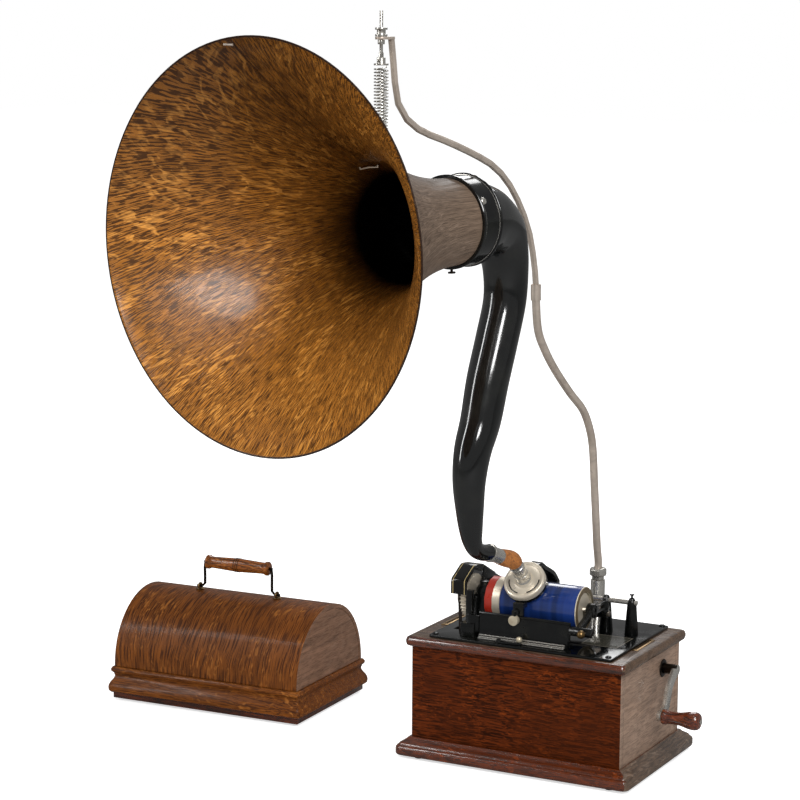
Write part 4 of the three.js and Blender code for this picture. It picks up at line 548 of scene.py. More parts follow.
def oak(name, tones, along="x", pores=0.7, figure=0.5, gloss=0.32, shine=0.12, wear=0.25, veneer=False,
        throat=None, fleck_turn=0.3, fleck_from=0.56, size=1.0, reach=46, across=520, streaks=0.5,
        pore_from=0.51):
    """Varnished oak: fine dark pores along the grain, broad tone changes and ray flecks."""
    made = Recipe(name)
    pore, ground, fleck = tones
    source = made.coordinates
    if veneer:
        source = made.add("ShaderNodeTexCoord").outputs["UV"]
    sway = made.add("ShaderNodeVectorMath", operation="SCALE")
    sway.inputs[0].default_value = (0.0, 1.0, 0.0) if "x" in along else (1.0, 0.0, 0.0)
    made.feed(sway.inputs["Scale"], made.times(made.noise(source, 7 * size, 2.0), GRAIN_SWAY))
    shift = made.add("ShaderNodeVectorMath", operation="ADD")
    made.feed(shift.inputs[0], source)
    made.feed(shift.inputs[1], sway.outputs[0])
    bent = shift.outputs[0]
    fine = made.noise(made.placed(stretched(along, reach, across), source=bent), 1.0, 1.5, 0.5, 0.15)
    pore_share = made.ramp(fine, pore_from, pore_from + 0.05)
    coarse = made.noise(made.placed(stretched(along, 9 * size, 130 * size), source=bent), 1.0, 3.0, 0.6, 0.5)
    turned = made.placed(turn=(0, 0, fleck_turn), source=source)
    flakes = made.placed(stretched(along, 40 * size, 140 * size), source=turned)
    rays = made.noise(flakes, 1.0, 1.5, 0.5, 1.4)
    patch = made.noise(source, 14 * size, 2.0)
    ray_share = made.times(made.ramp(rays, fleck_from, fleck_from + 0.1), made.ramp(patch, 0.38, 0.6))
    deep = made.mix(streaks, ground, pore)
    colours = made.mix(made.ramp(coarse, 0.32, 0.68), deep, ground)
    colours = made.mix(made.times(ray_share, figure), colours, fleck)
    clear = made.minus(1.0, made.times(ray_share, 0.5))
    colours = made.mix(made.times(made.times(pore_share, clear), pores), colours, pore)
    dust = made.ramp(made.noise(source, 5.0 * size, 4.0, 0.6), 0.45, 0.75, 0.0, wear)
    colours = made.mix(dust, colours, deep)
    if veneer:
        # Painted shade: a wide band each side of the seam, at the top of the bell, darkens towards the pores
        # where the top lies in shade; the narrow dark line is the seam's joint
        from_seam = made.maths("PINGPONG", made.part(1, source), SEAM_TURN / 2)
        for low, high, dark in ((0.0, 0.16, 0.75), (0.0006, 0.0012, 0.9)):
            colours = made.mix(made.ramp(from_seam, low, high, dark, 0.0), colours, pore)
    # Painted shade: near the throat the colour turns near-black for the shadow deep inside the horn
    if throat is not None:
        colours = made.mix(made.ramp(made.part(0, source), 0.14, 0.2, 1.0, 0.0), colours, throat)
    made.set(Base_Color=colours, Roughness=made.ramp(fine, 0.3, 0.7, gloss - 0.06, gloss + 0.12))
    made.set(Specular_IOR_Level=shine, Coat_Weight=shine * 0.6, Coat_Roughness=0.12)
    made.bump(made.minus(made.times(ray_share, 0.3), pore_share), 0.3, 0.0002)


def metal(name, bright, stain, rough, spots=60.0, amount=0.6, pitch=None, plate=1.0):
    """Plated or bare metal with tarnish in patches, fine scratches and, with a pitch, a thread along X."""
    made = Recipe(name)
    patches = made.noise(made.coordinates, spots, 5.0, 0.62, 0.4)
    fine = made.noise(made.coordinates, 900.0, 2.0, 0.6)
    colours = made.mix(made.ramp(patches, 0.42, 0.75, 0.0, amount), bright, stain)
    if pitch:
        turns = made.maths("FRACT", made.maths("DIVIDE", made.part(0), pitch))
        colours = made.mix(made.ramp(turns, 0.3, 0.6, 0.0, 0.75), colours, stain)
    # With plate below 1, part of the colour is lit diffusely: painted reflection of the bright room, which
    # the dimmed reflections leave out
    made.set(Base_Color=colours, Metallic=plate)
    made.set(Roughness=made.plus(made.ramp(patches, 0.3, 0.75, rough - 0.06, rough + 0.16),
                                 made.ramp(fine, 0.3, 0.7, -0.03, 0.05)))
    made.bump(made.plus(made.times(patches, 0.6), fine), 0.08, 0.0001)


def enamel(name, black, wear_and_reflection, rough=0.1, lines=(), stripe=None, patch=None, shine=0.4, ripple=0.0):
    """Black enamel with dust, tiny chips and, where they are asked for, gold lines and a patch of painted
    reflection.
    """
    made = Recipe(name)
    cloud = made.noise(made.coordinates, 24.0, 4.0, 0.6)
    fine = made.noise(made.coordinates, 900.0, 2.0, 0.6)
    chips = made.ramp(made.noise(made.coordinates, 330.0, 3.0, 0.6), 0.72, 0.78)
    colours = made.mix(made.ramp(cloud, 0.5, 0.8, 0.0, 0.4), black, wear_and_reflection)
    colours = made.mix(made.times(chips, 0.5), colours, wear_and_reflection)
    if patch:
        # Painted reflection: a lighter rectangle, outlined as a slightly raised panel's edge, stands in for
        # the light that the glossy bed reflects there
        x, y, wide, deep = patch
        for border, share, tone in ((0.0, 0.55, stripe), (PATCH_BORDER, 0.85, wear_and_reflection)):
            inside = made.times(made.line(0, x, wide - border), made.line(1, y, deep - border))
            colours = made.mix(made.times(inside, share), colours, tone)
    for x in lines:
        broken = made.ramp(made.noise(made.coordinates, 160.0, 3.0, 0.6), 0.3, 0.46)
        colours = made.mix(made.times(made.line(0, x, GOLD_LINE), broken), colours, stripe)
    made.set(Base_Color=colours, Roughness=made.ramp(cloud, 0.35, 0.75, rough - 0.04, rough + 0.14))
    made.set(Specular_IOR_Level=shine, Coat_Weight=shine * 0.5, Coat_Roughness=0.05)
    height = made.minus(made.times(fine, 0.3), chips)
    if ripple:
        height = made.plus(height, made.times(made.noise(made.coordinates, 130.0, 3.0, 0.6), ripple))
    made.bump(height, 0.1, 0.0001)


def rubber(name, base, dark, rough, grain, strength=0.9):
    """Matt rubber, leather or plaster with a granular skin."""
    made = Recipe(name)
    lumps = made.noise(made.coordinates, grain, 4.0, 0.7, 0.8)
    broad = made.noise(made.coordinates, grain / 6, 3.0, 0.5)
    colours = made.mix(made.times(made.ramp(lumps, 0.35, 0.6, 1.0, 0.0), 0.8), base, dark)
    colours = made.mix(made.ramp(broad, 0.45, 0.75, 0.0, 0.5), colours, dark)
    made.set(Base_Color=colours, Roughness=made.ramp(lumps, 0.3, 0.7, rough - 0.1, rough + 0.1))
    made.bump(lumps, strength, 0.0006)


def celluloid(name, blue, deep):
    """Glossy blue celluloid with faint bands round it."""
    made = Recipe(name)
    broad = made.noise(made.placed((90, 3, 3)), 1.0, 2.0)
    made.set(Base_Color=made.mix(made.ramp(broad, 0.35, 0.65), blue, deep), Roughness=0.2)
    made.set(Specular_IOR_Level=0.5, Coat_Weight=0.7, Coat_Roughness=0.07)


# The case and the bedplate
DECK_TOP = 155.0
PLINTH_END = 144.5
LATCH_X, LATCH_Y = 132.5, 1
LATCH_TRIM = (9, 60, 0.9)
LATCH_SLOT = (3.2, 52, 4)
BED_TOP = 159.0
BED_SCREWS = ((-115, -88), (123, -88), (-115, 88), (123, 88))

# The works: the mandrel's axis, the hood with the web under its back slope, the gate's ball, the rails, the
# bounds of the painted places and the record
MANDREL_Y, MANDREL_Z = -30, 200
HOOD_BENDS = ((-62, 226.3), (-33, 241.3))
HOOD_SLOPE = math.radians(25.4)
WEB_MIDDLE, WEB_SIZE = (0, -7, -8.5), (1.5, 58, 17)
WEB_PLACE = mm(-85.7, 24, 218.9)
GATE_BALL, GATE_BALL_RADIUS = Vector((85, -86, 183)), 5.8
RAIL_PLACES = ((-84.2, 160.4), (-81.6, 161.6), (-80.2, 164.0))
RAIL_OUTLINE = [(0, -57), (0.9, -57), (0.9, 61), (0, 61)]
START_KNOB_LEFT, START_KNOB_BOTTOM = -3, 162.5
RED_BAND_LEFT, RED_BAND_RIGHT, RED_BAND_INNER = -61.35, -50.95, 24
DRUM_END, DRUM_PIN_RADIUS = 55, 4
RECORD_RADIUS = 28.6
RECORD_OUTLINE = [(22.0, -41.2), (27.6, -41.2), (RECORD_RADIUS, -40.2), (RECORD_RADIUS, 64.0), (28.2, 65.0),
                  (27.2, 65.4), (22.0, 65.4)]

# The reproducer with its slots and pin, the rubber elbow from its neck to the ferrule, and the lift knob
FACE_MIDDLE = mm(-7, -56.793, 236.293)
FACE_AXIS = Vector((0, -0.72176, 0.69214)).normalized()
FACE_UP = Vector((0, FACE_AXIS.z, -FACE_AXIS.y))
FACE_PLACE = basis(ALONG_X, FACE_UP, FACE_AXIS, FACE_MIDDLE)
HOSE_START = FACE_MIDDLE + FACE_AXIS * 34 * MM
HOSE_END = mm(-15.076, -99.654, 271.326)
HOSE_START_REACH, HOSE_END_REACH = (5, 16), (-8, 9)
HOSE_RADIUS, HOSE_SWELL = 10.1, 1.2
SLOT_RADIUS, SLOT_HEIGHT, SLOT_HALF_WIDTH = 19.9, -1.45, 0.75
SLOT_ENDS = ((-62, 8), (188, 262))
PIN_BEHIND_FACE = 4.5
PIN_OUTLINE = [(0, 26), (2.2, 26), (2.2, 31.5), (1.6, 32.2), (0, 32.2)]
LIFT_KNOB_BACK, LIFT_KNOB_TOP = -80.2, 194
REPRODUCER_OUTLINE = [
    (0, -9), (26.2, -9), (27, -8.2), (27, -2.2), (26.6, -1.2), (25.6, -0.3), (24.6, 0), (23.2, 0),
    (22.5, -0.3), (21.8, -1.3), (21.2, -1.6), (13.4, -1.6), (12.4, -1.4), (11.6, -0.6), (11, 0),
    (10.2, 2.2), (9.2, 3.6), (8.7, 4.4), (8.7, 12.5), (9.3, 13), (9.3, 14.2), (8.7, 14.7), (8.7, 21),
    (8.9, 21.3), (8.9, 29), (9.5, 29.4), (9.5, 31.4), (8.9, 31.8), (8.9, 41), (6, 41), (6, 20), (0, 20),
]

# The neck's middle line in the horn's upright plane, and its radius, as shares of its rise and its widest
NECK_RIM = mm(-20.889, -130.512, 283.726)
NECK_RISE, NECK_RADIUS = 413.4, 48
NECK_SHARES = [
    (0, 0, 0.215), (-0.033, 0.006, 0.215), (-0.062, 0.02, 0.22), (-0.08, 0.045, 0.25), (-0.089, 0.081, 0.3),
    (-0.096, 0.144, 0.36), (-0.1, 0.233, 0.427), (-0.084, 0.32, 0.479), (-0.047, 0.405, 0.52),
    (-0.014, 0.519, 0.545), (0.028, 0.634, 0.548), (0.066, 0.748, 0.55), (0.069, 0.838, 0.583),
    (0.055, 0.9, 0.646), (0.022, 0.955, 0.75), (-0.037, 0.987, 0.875), (-0.09, 0.997, 0.955),
    (-0.1295, 1, 1),
]

# The horn stands on the collar's start, turned about the vertical and tipped down a little
HORN_YAW, HORN_PITCH = math.radians(10.67), math.radians(1.16)
HORN_BACK = Vector((math.sin(HORN_YAW), math.cos(HORN_YAW), 0))
HORN_SIDE = Vector((math.cos(HORN_YAW), -math.sin(HORN_YAW), 0))
HORN_AXIS = -math.cos(HORN_PITCH) * HORN_BACK - Vector((0, 0, math.sin(HORN_PITCH)))
HORN_UP = HORN_AXIS.cross(HORN_SIDE).normalized()


def on_neck(along, height):
    """A point of the horn's upright plane, in shares of the neck's rise from its lower rim."""
    return NECK_RIM + (HORN_BACK * along + Vector((0, 0, height))) * NECK_RISE * MM


HORN_PLACE = basis(HORN_SIDE, HORN_UP, HORN_AXIS, on_neck(*NECK_SHARES[-1][:2]))

# The bell with its veneer, and the small fittings on it and on its collar
HORN_SEAM = math.radians(98)
BELL_START, BELL_LENGTH, BELL_RIM = 36.1, 335, 371.0
BELL_LIP = [(226.9, 371.4), (225.9, 372.2), (224.6, 371.8)]
THROAT_RADIUS, MOUTH_RADIUS, FLARE_POWER = 52, 226.7, 1.9
LIP_STEP = 1.2
VENEER_LEANS, VENEER_TWIST, VENEER_EYE = (0.3, 0.15), 1.5, 0.05
STAPLE_HEIGHT = 167
STAPLE_BENDS = ((76.5, 108), (74.0, 107.9), (74.0, 98), (74.0, 88.1), (76.5, 88))
CLIP_ENDS = ((221.0, 101.4, 368), (218.6, 98.4, 366))
COLLAR_RADIUS = 53.5
COLLAR_LINES = {"back": 4.6, "front": 30.6}
COLLAR_OUTLINE = [(46.5, 0.4), (55.2, 0.4), (56, 1.2), (56, 2.8), (55.3, 3.6), (54, 4.2), (54, 31),
                  (55.3, 32), (56, 32.6), (56, 34.8), (55.2, 35.6), (46.5, 35.6)]
THUMB_SCREW_OUTLINE = [(0, 0), (1.6, 0), (1.6, 5), (4.4, 5.4), (4.8, 6.4), (4.4, 7.4), (0, 7.8)]

# The crane's middle line, as shares of the way to the hanger and of the rise above its socket
CRANE_XY, HANGER_XY = (20.2, 116), (-60.383, -340.126)
CRANE_FOOT = mm(*CRANE_XY, 203)
CRANE_REACH = mm(HANGER_XY[0] - CRANE_XY[0], HANGER_XY[1] - CRANE_XY[1], 0)
CRANE_RISE = mm(0, 0, 708.5)
CRANE_TUBE_RADIUS, CRANE_SLEEVE_RADIUS = 5.15, 6.4
CRANE_JOINT_ROW = 15
CRANE_SHARES = [
    (0, -0.09), (0, 0), (0, 0.02), (0, 0.036), (0.008, 0.066), (0.016, 0.116), (0.027, 0.182),
    (0.038, 0.248), (0.055, 0.287), (0.092, 0.327), (0.158, 0.364), (0.232, 0.411), (0.282, 0.45),
    (0.316, 0.488), (0.328, 0.542), (0.33, 0.576), (0.339, 0.606),
]
CRANE_NUT_OUTLINE = [(5.7, 203.6), (7.4, 203.6), (8, 204.2), (8, 208), (9.4, 208.4), (10.9, 209.2),
                     (11.3, 210.2), (11.3, 216.4), (10.7, 217.6), (9.6, 218.6), (8.6, 219), (5.7, 219)]

# The crank and the lid
CRANK_GRIP_Y, CRANK_GRIP_Z = -10.90, 70.53
CRANK_GRIP_OUTLINE = [
    (3.4, 165.4), (8.3, 165.4), (9.2, 166.0), (9.5, 166.9), (9.5, 169.4), (9.2, 170.4), (8.5, 172.4),
    (8.1, 175), (7.9, 179), (7.9, 184), (8.3, 189), (9.4, 194.5), (10.8, 200), (11.5, 205), (11.5, 209),
    (10.8, 212.2), (9.3, 214.4), (7.0, 215.5), (3.4, 215.8),
]
CRANK_ARM_LEFT = 158.7
CRANK_Y, CRANK_Z = 40, 118
ESCUTCHEON_OUTLINE = [(7.2, 144.1), (10.6, 144.1), (11.6, 144.7), (11, 145.5), (7.2, 145.7)]
LID_YAW = math.radians(1.89)
LID_GRIP_MIDDLE = mm(-483.4, 32.6, 182.0)
LID_SHADOW_TOP = 9

# The photo's camera, with its turns in radians, the floor in metres and the point that the lamps face
CAMERA_TURNS = (0.486587, 0.161666, 0.004844)
CAMERA_PLACE = mm(1253.1155, -2773.9578, 951.5053)
CAMERA_LENS = 109.80466
FLOOR_SIZE, FLOOR_PLACE = 24, (0, 4, -0.0041)
LAMP_AIM = mm(-100, 0, 350)


def make_woods(woods):
    """The oaks of the case, the lid and the horn, and the two turned grips."""
    case, side, top, lid, horn = ([getattr(woods, f"{part}_{tone}") for tone in ("pore", "ground", "fleck")]
                                  for part in ("case", "side", "top", "lid", "horn"))
    oak("case_front_oak", case, pores=0.75, figure=0.45, gloss=0.34, shine=0.05, wear=1.0, size=1.6,
        reach=34, across=760, streaks=0.65, pore_from=0.49)
    # The sides' oak is a lit copy of the front's: its lighter grey ground is painted light and sheen
    oak("case_side_oak", side, "y", pores=0.4, figure=0.3, gloss=0.42, across=800)
    oak("case_top_oak", top, figure=0.45, gloss=0.3, shine=0.2)
    oak("top_edge_oak", case, figure=0.2, gloss=0.16, shine=1.0, across=800, streaks=0.8)
    oak("moulding_oak", case, figure=0.9, gloss=0.16, shine=1.0, wear=0.5, across=800)
    oak("plinth_side_oak", (woods.top_pore, woods.top_ground, woods.side_fleck), "y", pores=0.5, figure=0.4,
        gloss=0.24, shine=0.6)
    oak("lid_vault_oak", lid, "yz", 0.75, 0.45, gloss=0.34, size=1.3, reach=34, across=800, fleck_turn=0.1)
    oak("lid_end_oak", (woods.top_pore, woods.end_ground, woods.side_ground), "y", pores=0.3, figure=0.2,
        gloss=0.45, across=800)
    oak("lid_rim_oak", lid, gloss=0.3, shine=0.14, wear=0.6, across=800)
    oak("horn_inside_oak", horn, pores=0.82, figure=0.8, gloss=0.28, shine=0.22, veneer=True,
        throat=woods.throat, fleck_turn=0.4, fleck_from=0.53, reach=60, across=700, pore_from=0.475)
    oak("horn_outside_oak", (woods.top_pore, woods.horn_back, woods.side_fleck), pores=0.5, figure=0.3,
        gloss=0.5, veneer=True)
    oak("horn_rim_oak", (woods.horn_pore, woods.top_pore, woods.top_ground), figure=0.3, gloss=0.35,
        veneer=True)
    oak("turned_grip", (woods.case_pore, woods.grip, woods.grip_light), figure=0.8, gloss=0.12, shine=1.0,
        size=2.0)
    oak("turned_bail_grip", (woods.case_pore, woods.bail_grip, woods.lid_fleck), figure=0.6, gloss=0.2,
        shine=0.4, size=1.6)


def make_metals(metals):
    """The plated and the bare metals."""
    # Plate below 1 shows part of each metal's colour as lit diffuse colour, painted reflection of the bright
    # room
    metal("aged_nickel", metals.nickel, metals.nickel_stain, 0.18, 60.0, 0.35, plate=0.85)
    metal("satin_nickel", metals.satin, metals.nickel_stain, 0.3, 30.0, 0.25, plate=0.6)
    metal("dull_steel", metals.steel, metals.steel_stain, 0.32, 40.0, plate=0.65)
    metal("feed_thread", metals.steel, metals.dull, 0.3, 40.0, pitch=0.0014)
    metal("pale_trim", metals.plaster, metals.brass, 0.4, plate=0.7)
    metal("aged_brass", metals.brass, metals.brass_stain, 0.3)
    metal("dark_bronze", metals.dull, metals.enamel, 0.34, 40.0)


def make_coats(metals):
    """The enamels, the celluloid, the plaster, the rubbers and the leather."""
    black, wear_and_reflection = metals.enamel, metals.enamel_wear_and_reflection
    enamel("black_enamel", black, wear_and_reflection)
    enamel("neck_enamel", black, wear_and_reflection, 0.09, shine=0.8, ripple=5.0)
    enamel("black_japan", black, wear_and_reflection, 0.2)
    enamel("gear_cover_enamel", black, wear_and_reflection, 0.16, HOOD_LINES, metals.stripe)
    enamel("bedplate_enamel", black, wear_and_reflection, stripe=metals.nickel_stain, patch=BED_PATCH)
    enamel("red_band", metals.red, metals.brass_stain, 0.3)
    celluloid("blue_record", metals.record, metals.record_deep)
    rubber("record_rim", metals.plaster, metals.nickel_stain, 0.6, 500.0, 0.3)
    rubber("mandrel_end", metals.drum_end, metals.brass_stain, 0.5, 90.0, 0.2)
    rubber("gum_rubber", metals.gum, metals.gum_dark, 0.75, 330.0)
    rubber("belt_leather", metals.leather, black, 0.7, 400.0, 0.5)
    rubber("foot_rubber", metals.foot, black, 0.6, 300.0, 0.3)


class PHONO_OT_finishes(bpy.types.Operator):
    """Make the woods, metals, enamels and rubbers"""
    bl_idname = "phono.finishes"
    bl_label = "Finishes"

    def execute(self, context):
        make_woods(context.scene.phonograph_woods)
        make_metals(context.scene.phonograph_metals)
        make_coats(context.scene.phonograph_metals)
        return {"FINISHED"}


class PHONO_OT_case(bpy.types.Operator):
    """Dress the oak case, its mouldings and its feet"""
    bl_idname = "phono.case"
    bl_label = "Case"

    def execute(self, context):
        for side in ("front", "back"):
            board = recut(f"case_{side}", f"{side}_board", "case_front_oak", 0.5)
            # The board's ends take the sides' lighter grey oak, painted light and sheen
            paint(board, "case_side_oak", lambda middle, normal: abs(normal.x) > 0.7)
        # These boards take the sides' oak with its painted light and sheen
        for node, name in (("case_left", "left_board"), ("case_right", "right_board"),
                           ("bottom_board", "floor_board")):
            recut(node, name, "case_side_oak", 0.5)
        paint(recut("base_moulding", "plinth", "moulding_oak", 0.8, 25), "plinth_side_oak",
              lambda middle, normal: abs(middle.x) > PLINTH_END and abs(normal.x) > abs(normal.y))
        paint(recut("top_board", "deck_board", "case_top_oak", 0.3, 50), "top_edge_oak",
              lambda middle, normal: abs(middle.y) > 60 and abs(normal.z) < 0.93 and abs(normal.x) < 0.7)
        for number in range(1, 5):
            recut(f"foot_{number}", f"foot_pad_{number}", "foot_rubber", 0.6)
        for name, x in (("left", -LATCH_X), ("right", LATCH_X)):
            ring = block(f"latch_trim_{name}", (x, LATCH_Y, DECK_TOP + LATCH_TRIM[2] / 2), LATCH_TRIM, 0.3)
            carve(ring, cutter((x, LATCH_Y, DECK_TOP), LATCH_SLOT))
            dress(smooth(ring), "base", "aged_brass")
        return {"FINISHED"}


class PHONO_OT_bed(bpy.types.Operator):
    """Dress the bedplate with its screws and its patch of painted reflection"""
    bl_idname = "phono.bed"
    bl_label = "Bedplate"

    def execute(self, context):
        recut("bedplate", "bed", "bedplate_enamel", 0.8, segments=3)
        radius = context.scene.phonograph_sizes.screw / MM
        for i, (x, y) in enumerate(BED_SCREWS):
            head = screw_head(f"bed_screw_{i + 1}", upright(x, y, BED_TOP), radius, 2.6, 0.5 + i)
            dress(head, "base", "black_japan")
        return {"FINISHED"}


def from_axis(middle):
    """Distance from the mandrel's axis in millimetres."""
    return math.hypot(middle.y - MANDREL_Y, middle.z - MANDREL_Z)


def hood_edge(middle, way):
    """Tells the hood's two long outer edges, at its knee and at its shoulder."""
    at_bend = any(math.hypot(middle.y - y, middle.z - z) < 0.4 for y, z in HOOD_BENDS)
    return abs(way.x) > 0.9 and at_bend


class PHONO_OT_works(bpy.types.Operator):
    """Dress the main frame, the gears, the posts, the rods and the record"""
    bl_idname = "phono.works"
    bl_label = "Works"

    def execute(self, context):
        recut("main_frame", "frame_casting", "black_japan", 0.8)
        recut("gear_cover", "gear_hood", "gear_cover_enamel", 0.2, 60, 2, (hood_edge, 4.0, 5))
        web = block("hood_web", WEB_MIDDLE, WEB_SIZE)
        settle(web, Matrix.Translation(WEB_PLACE) @ Matrix.Rotation(-HOOD_SLOPE, 4, "X"))
        dress(web, "base", "black_japan")
        recut("post_inner", "inner_post", "black_japan", 0.5, 38)
        recut("post_outer", "outer_post", "black_japan", 0.5, 38)
        recut("back_rod", "rear_rod", "aged_nickel", 0.3)
        recut("feed_screw", "feed_shaft", "feed_thread", 0.2)
        paint(recut("end_gate", "gate", "black_japan", 0.5, 38), "aged_brass",
              lambda middle, normal: (middle - GATE_BALL).length < GATE_BALL_RADIUS)
        recut("straight_edge", "guide_plate", "black_japan", 0.4)
        paint(recut("start_lever", "starting_lever", "black_japan", 0.3), "pale_trim",
              lambda middle, normal: middle.z > START_KNOB_BOTTOM and middle.x > START_KNOB_LEFT)
        mandrel = recut("mandrel", "mandrel_drum", "satin_nickel", 0.2, segments=1)
        paint(mandrel, "red_band", lambda middle, normal: RED_BAND_LEFT < middle.x < RED_BAND_RIGHT
              and from_axis(middle) > RED_BAND_INNER)
        paint(mandrel, "mandrel_end",
              lambda middle, normal: middle.x > DRUM_END and from_axis(middle) > DRUM_PIN_RADIUS)
        for number, (y, z) in enumerate(RAIL_PLACES, 1):
            rail = lathe(f"guide_rail_{number}", RAIL_OUTLINE, along_x(y, z), 24)
            dress(rail, "base", "aged_nickel")
        record = lathe("record_cylinder", RECORD_OUTLINE, along_x(MANDREL_Y, MANDREL_Z), 96, 25, closed=True)
        dress(record, "mandrel", "blue_record", ["record"])
        paint(record, "record_rim", lambda middle, normal: from_axis(middle) < RECORD_RADIUS - 0.1)
        paint(record, "mandrel_end", lambda middle, normal: normal.x > 0.9)
        return {"FINISHED"}


def make_reproducer():
    """The round body with its stepped face and its long nickel neck."""
    body = lathe("reproducer_body", REPRODUCER_OUTLINE, FACE_PLACE, 72, 32)
    dress(body, "arm", "satin_nickel", ["reproducer"])
    paint(body, "aged_nickel", lambda middle, normal: (FACE_PLACE.inverted() @ (middle * MM)).z > 1.5 * MM)


def make_face_slots():
    """The two dark curved slots in the reproducer's face."""
    slots = []
    for first, last in SLOT_ENDS:
        turns = [math.radians(first + (last - first) * i / 12) for i in range(13)]
        points = [FACE_PLACE @ mm(SLOT_RADIUS * math.cos(turn), SLOT_RADIUS * math.sin(turn), SLOT_HEIGHT)
                  for turn in turns]
        slots.append(sweep(f"face_slot_{first}", points, SLOT_HALF_WIDTH, 12))
    dress(joined("face_slots", slots), "arm", "black_enamel")


def make_hose():
    """The old rubber elbow between the reproducer's neck and the horn's ferrule."""
    onwards = (NECK_RIM - HOSE_END).normalized()
    a, b = (HOSE_START + FACE_AXIS * reach * MM for reach in HOSE_START_REACH)
    c, d = (HOSE_END + onwards * reach * MM for reach in HOSE_END_REACH)
    shares = [i / 24 for i in range(25)]
    points = [(1 - t) ** 3 * a + 3 * t * (1 - t) ** 2 * b + 3 * t * t * (1 - t) * c + t ** 3 * d
              for t in shares]
    radii = [HOSE_RADIUS + HOSE_SWELL * math.sin(math.pi * t) for t in shares]
    hose = sweep("rubber_elbow", points, radii, 40)
    hose.data.materials.clear()
    hose.data.materials.append(FINISH["gum_rubber"])
    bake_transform(hose)
    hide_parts("rubber_connector")


class PHONO_OT_carriage(bpy.types.Operator):
    """Make the carriage, the arm, the reproducer and the connector"""
    bl_idname = "phono.carriage"
    bl_label = "Carriage and reproducer"

    def execute(self, context):
        recut("carriage_sleeve", "sleeve", "aged_nickel", 0.3)
        recut("carriage_arm", "reproducer_arm", "black_japan", 0.4, 38)
        paint(recut("lift_lever", "lifting_lever", "black_japan", 0.4), "pale_trim",
              lambda middle, normal: middle.y < LIFT_KNOB_BACK and middle.z < LIFT_KNOB_TOP)
        recut("reproducer_weight", "floating_weight", "aged_nickel", 0.3)
        make_reproducer()
        make_face_slots()
        seat = FACE_MIDDLE - FACE_AXIS * PIN_BEHIND_FACE * MM
        pin = lathe("side_pin", PIN_OUTLINE, basis(FACE_AXIS, FACE_UP, ALONG_X, seat), 24)
        dress(pin, "arm", "aged_nickel")
        make_hose()
        return {"FINISHED"}


def flare(share):
    """The bell's outer radius in millimetres at a share of its length."""
    return THROAT_RADIUS + (MOUTH_RADIUS - THROAT_RADIUS) * share ** FLARE_POWER


def on_horn(radius, turn, height):
    """A point of the horn from a radius and height in millimetres and a turn in degrees."""
    angle = math.radians(turn)
    return HORN_PLACE @ mm(radius * math.cos(angle), radius * math.sin(angle), height)


def facing_out(turn, height):
    """A placing matrix on the collar whose Z points away from the horn's axis."""
    seat = on_horn(COLLAR_RADIUS, turn, height)
    return facing(seat - on_horn(0, turn, height), seat)


def make_bell(wall, steps):
    """The wooden bell, a turned wall that is closed at its lip and its throat."""
    rings = 30
    outer = [(flare(i / rings), BELL_START + BELL_LENGTH * i / rings) for i in range(rings + 1)]
    inner = [(radius - wall, height) for radius, height in outer]
    inner[-1] = (inner[-1][0], inner[-1][1] - LIP_STEP)
    bell = lathe("oak_bell", outer + BELL_LIP + inner[::-1], HORN_PLACE, steps, 50, closed=True)
    map_veneer(bell)
    dress(bell, "horn", "horn_inside_oak", ["horn_bell"])
    local = HORN_PLACE.inverted()

    def on_outside(middle, normal):
        point, way = local @ (middle * MM), local.to_3x3() @ normal
        return point.x * way.x + point.y * way.y > 0

    paint(bell, "horn_outside_oak", on_outside)
    paint(bell, "horn_rim_oak", lambda middle, normal: (local @ (middle * MM)).z > BELL_RIM * MM)


def map_veneer(bell):
    """A map of the veneer: out from the throat along U, and round the bell from the seam along V."""
    layers = bell.data.uv_layers
    while layers:
        layers.remove(layers[0])
    layer = layers.new(name="veneer")
    local = HORN_PLACE.inverted()
    places = [local @ vertex.co for vertex in bell.data.vertices]

    def turn_of(point):
        return (math.atan2(point.y, point.x) - HORN_SEAM) % math.tau

    for face in bell.data.polygons:
        middle = turn_of(local @ face.center)
        for corner in face.loop_indices:
            point = places[bell.data.loops[corner].vertex_index]
            turn = turn_of(point)
            if turn - middle > math.pi:
                turn -= math.tau
            elif middle - turn > math.pi:
                turn += math.tau
            reach = math.hypot(point.x, point.y)
            lean = math.sin(turn) * VENEER_LEANS[turn >= math.pi]
            opened = turn - lean * VENEER_TWIST * math.log(reach / VENEER_EYE)
            layer.data[corner].uv = (math.hypot(reach, point.z), VENEER_RADIUS * opened)


class PHONO_OT_horn(bpy.types.Operator):
    """Make the wooden bell, its collar and its small metal fittings"""
    bl_idname = "phono.horn"
    bl_label = "Horn"

    def execute(self, context):
        sizes = context.scene.phonograph_sizes
        make_bell(sizes.bell_wall / MM, sizes.horn_steps)
        collar = lathe("collar_band", COLLAR_OUTLINE, HORN_PLACE, 96, 30, closed=True)
        dress(collar, "horn", "black_enamel", ["horn_collar"])
        staple = [on_horn(radius, turn, STAPLE_HEIGHT) for radius, turn in STAPLE_BENDS]
        dress(sweep("throat_staple", staple, 1.0, 10), "horn", "satin_nickel")
        clip = sweep("rim_clip", [on_horn(*end) for end in CLIP_ENDS], 1.4, 10)
        dress(clip, "horn", "dull_steel")
        head = screw_head("collar_screw", facing_out(30, 28), 4.6, 3.6, 0.8)
        dress(head, "horn", "aged_nickel")
        stem = lathe("collar_thumb_screw", THUMB_SCREW_OUTLINE, facing_out(272, 30), 24)
        dress(stem, "horn", "dark_bronze")
        for side, at in COLLAR_LINES.items():
            outline = [(53.6, at - 0.5), (54.45, at - 0.4), (54.45, at + 0.4), (53.6, at + 0.5)]
            line = lathe(f"collar_line_{side}", outline, HORN_PLACE, 96, 30, closed=True)
            dress(line, "horn", "aged_nickel")
        return {"FINISHED"}


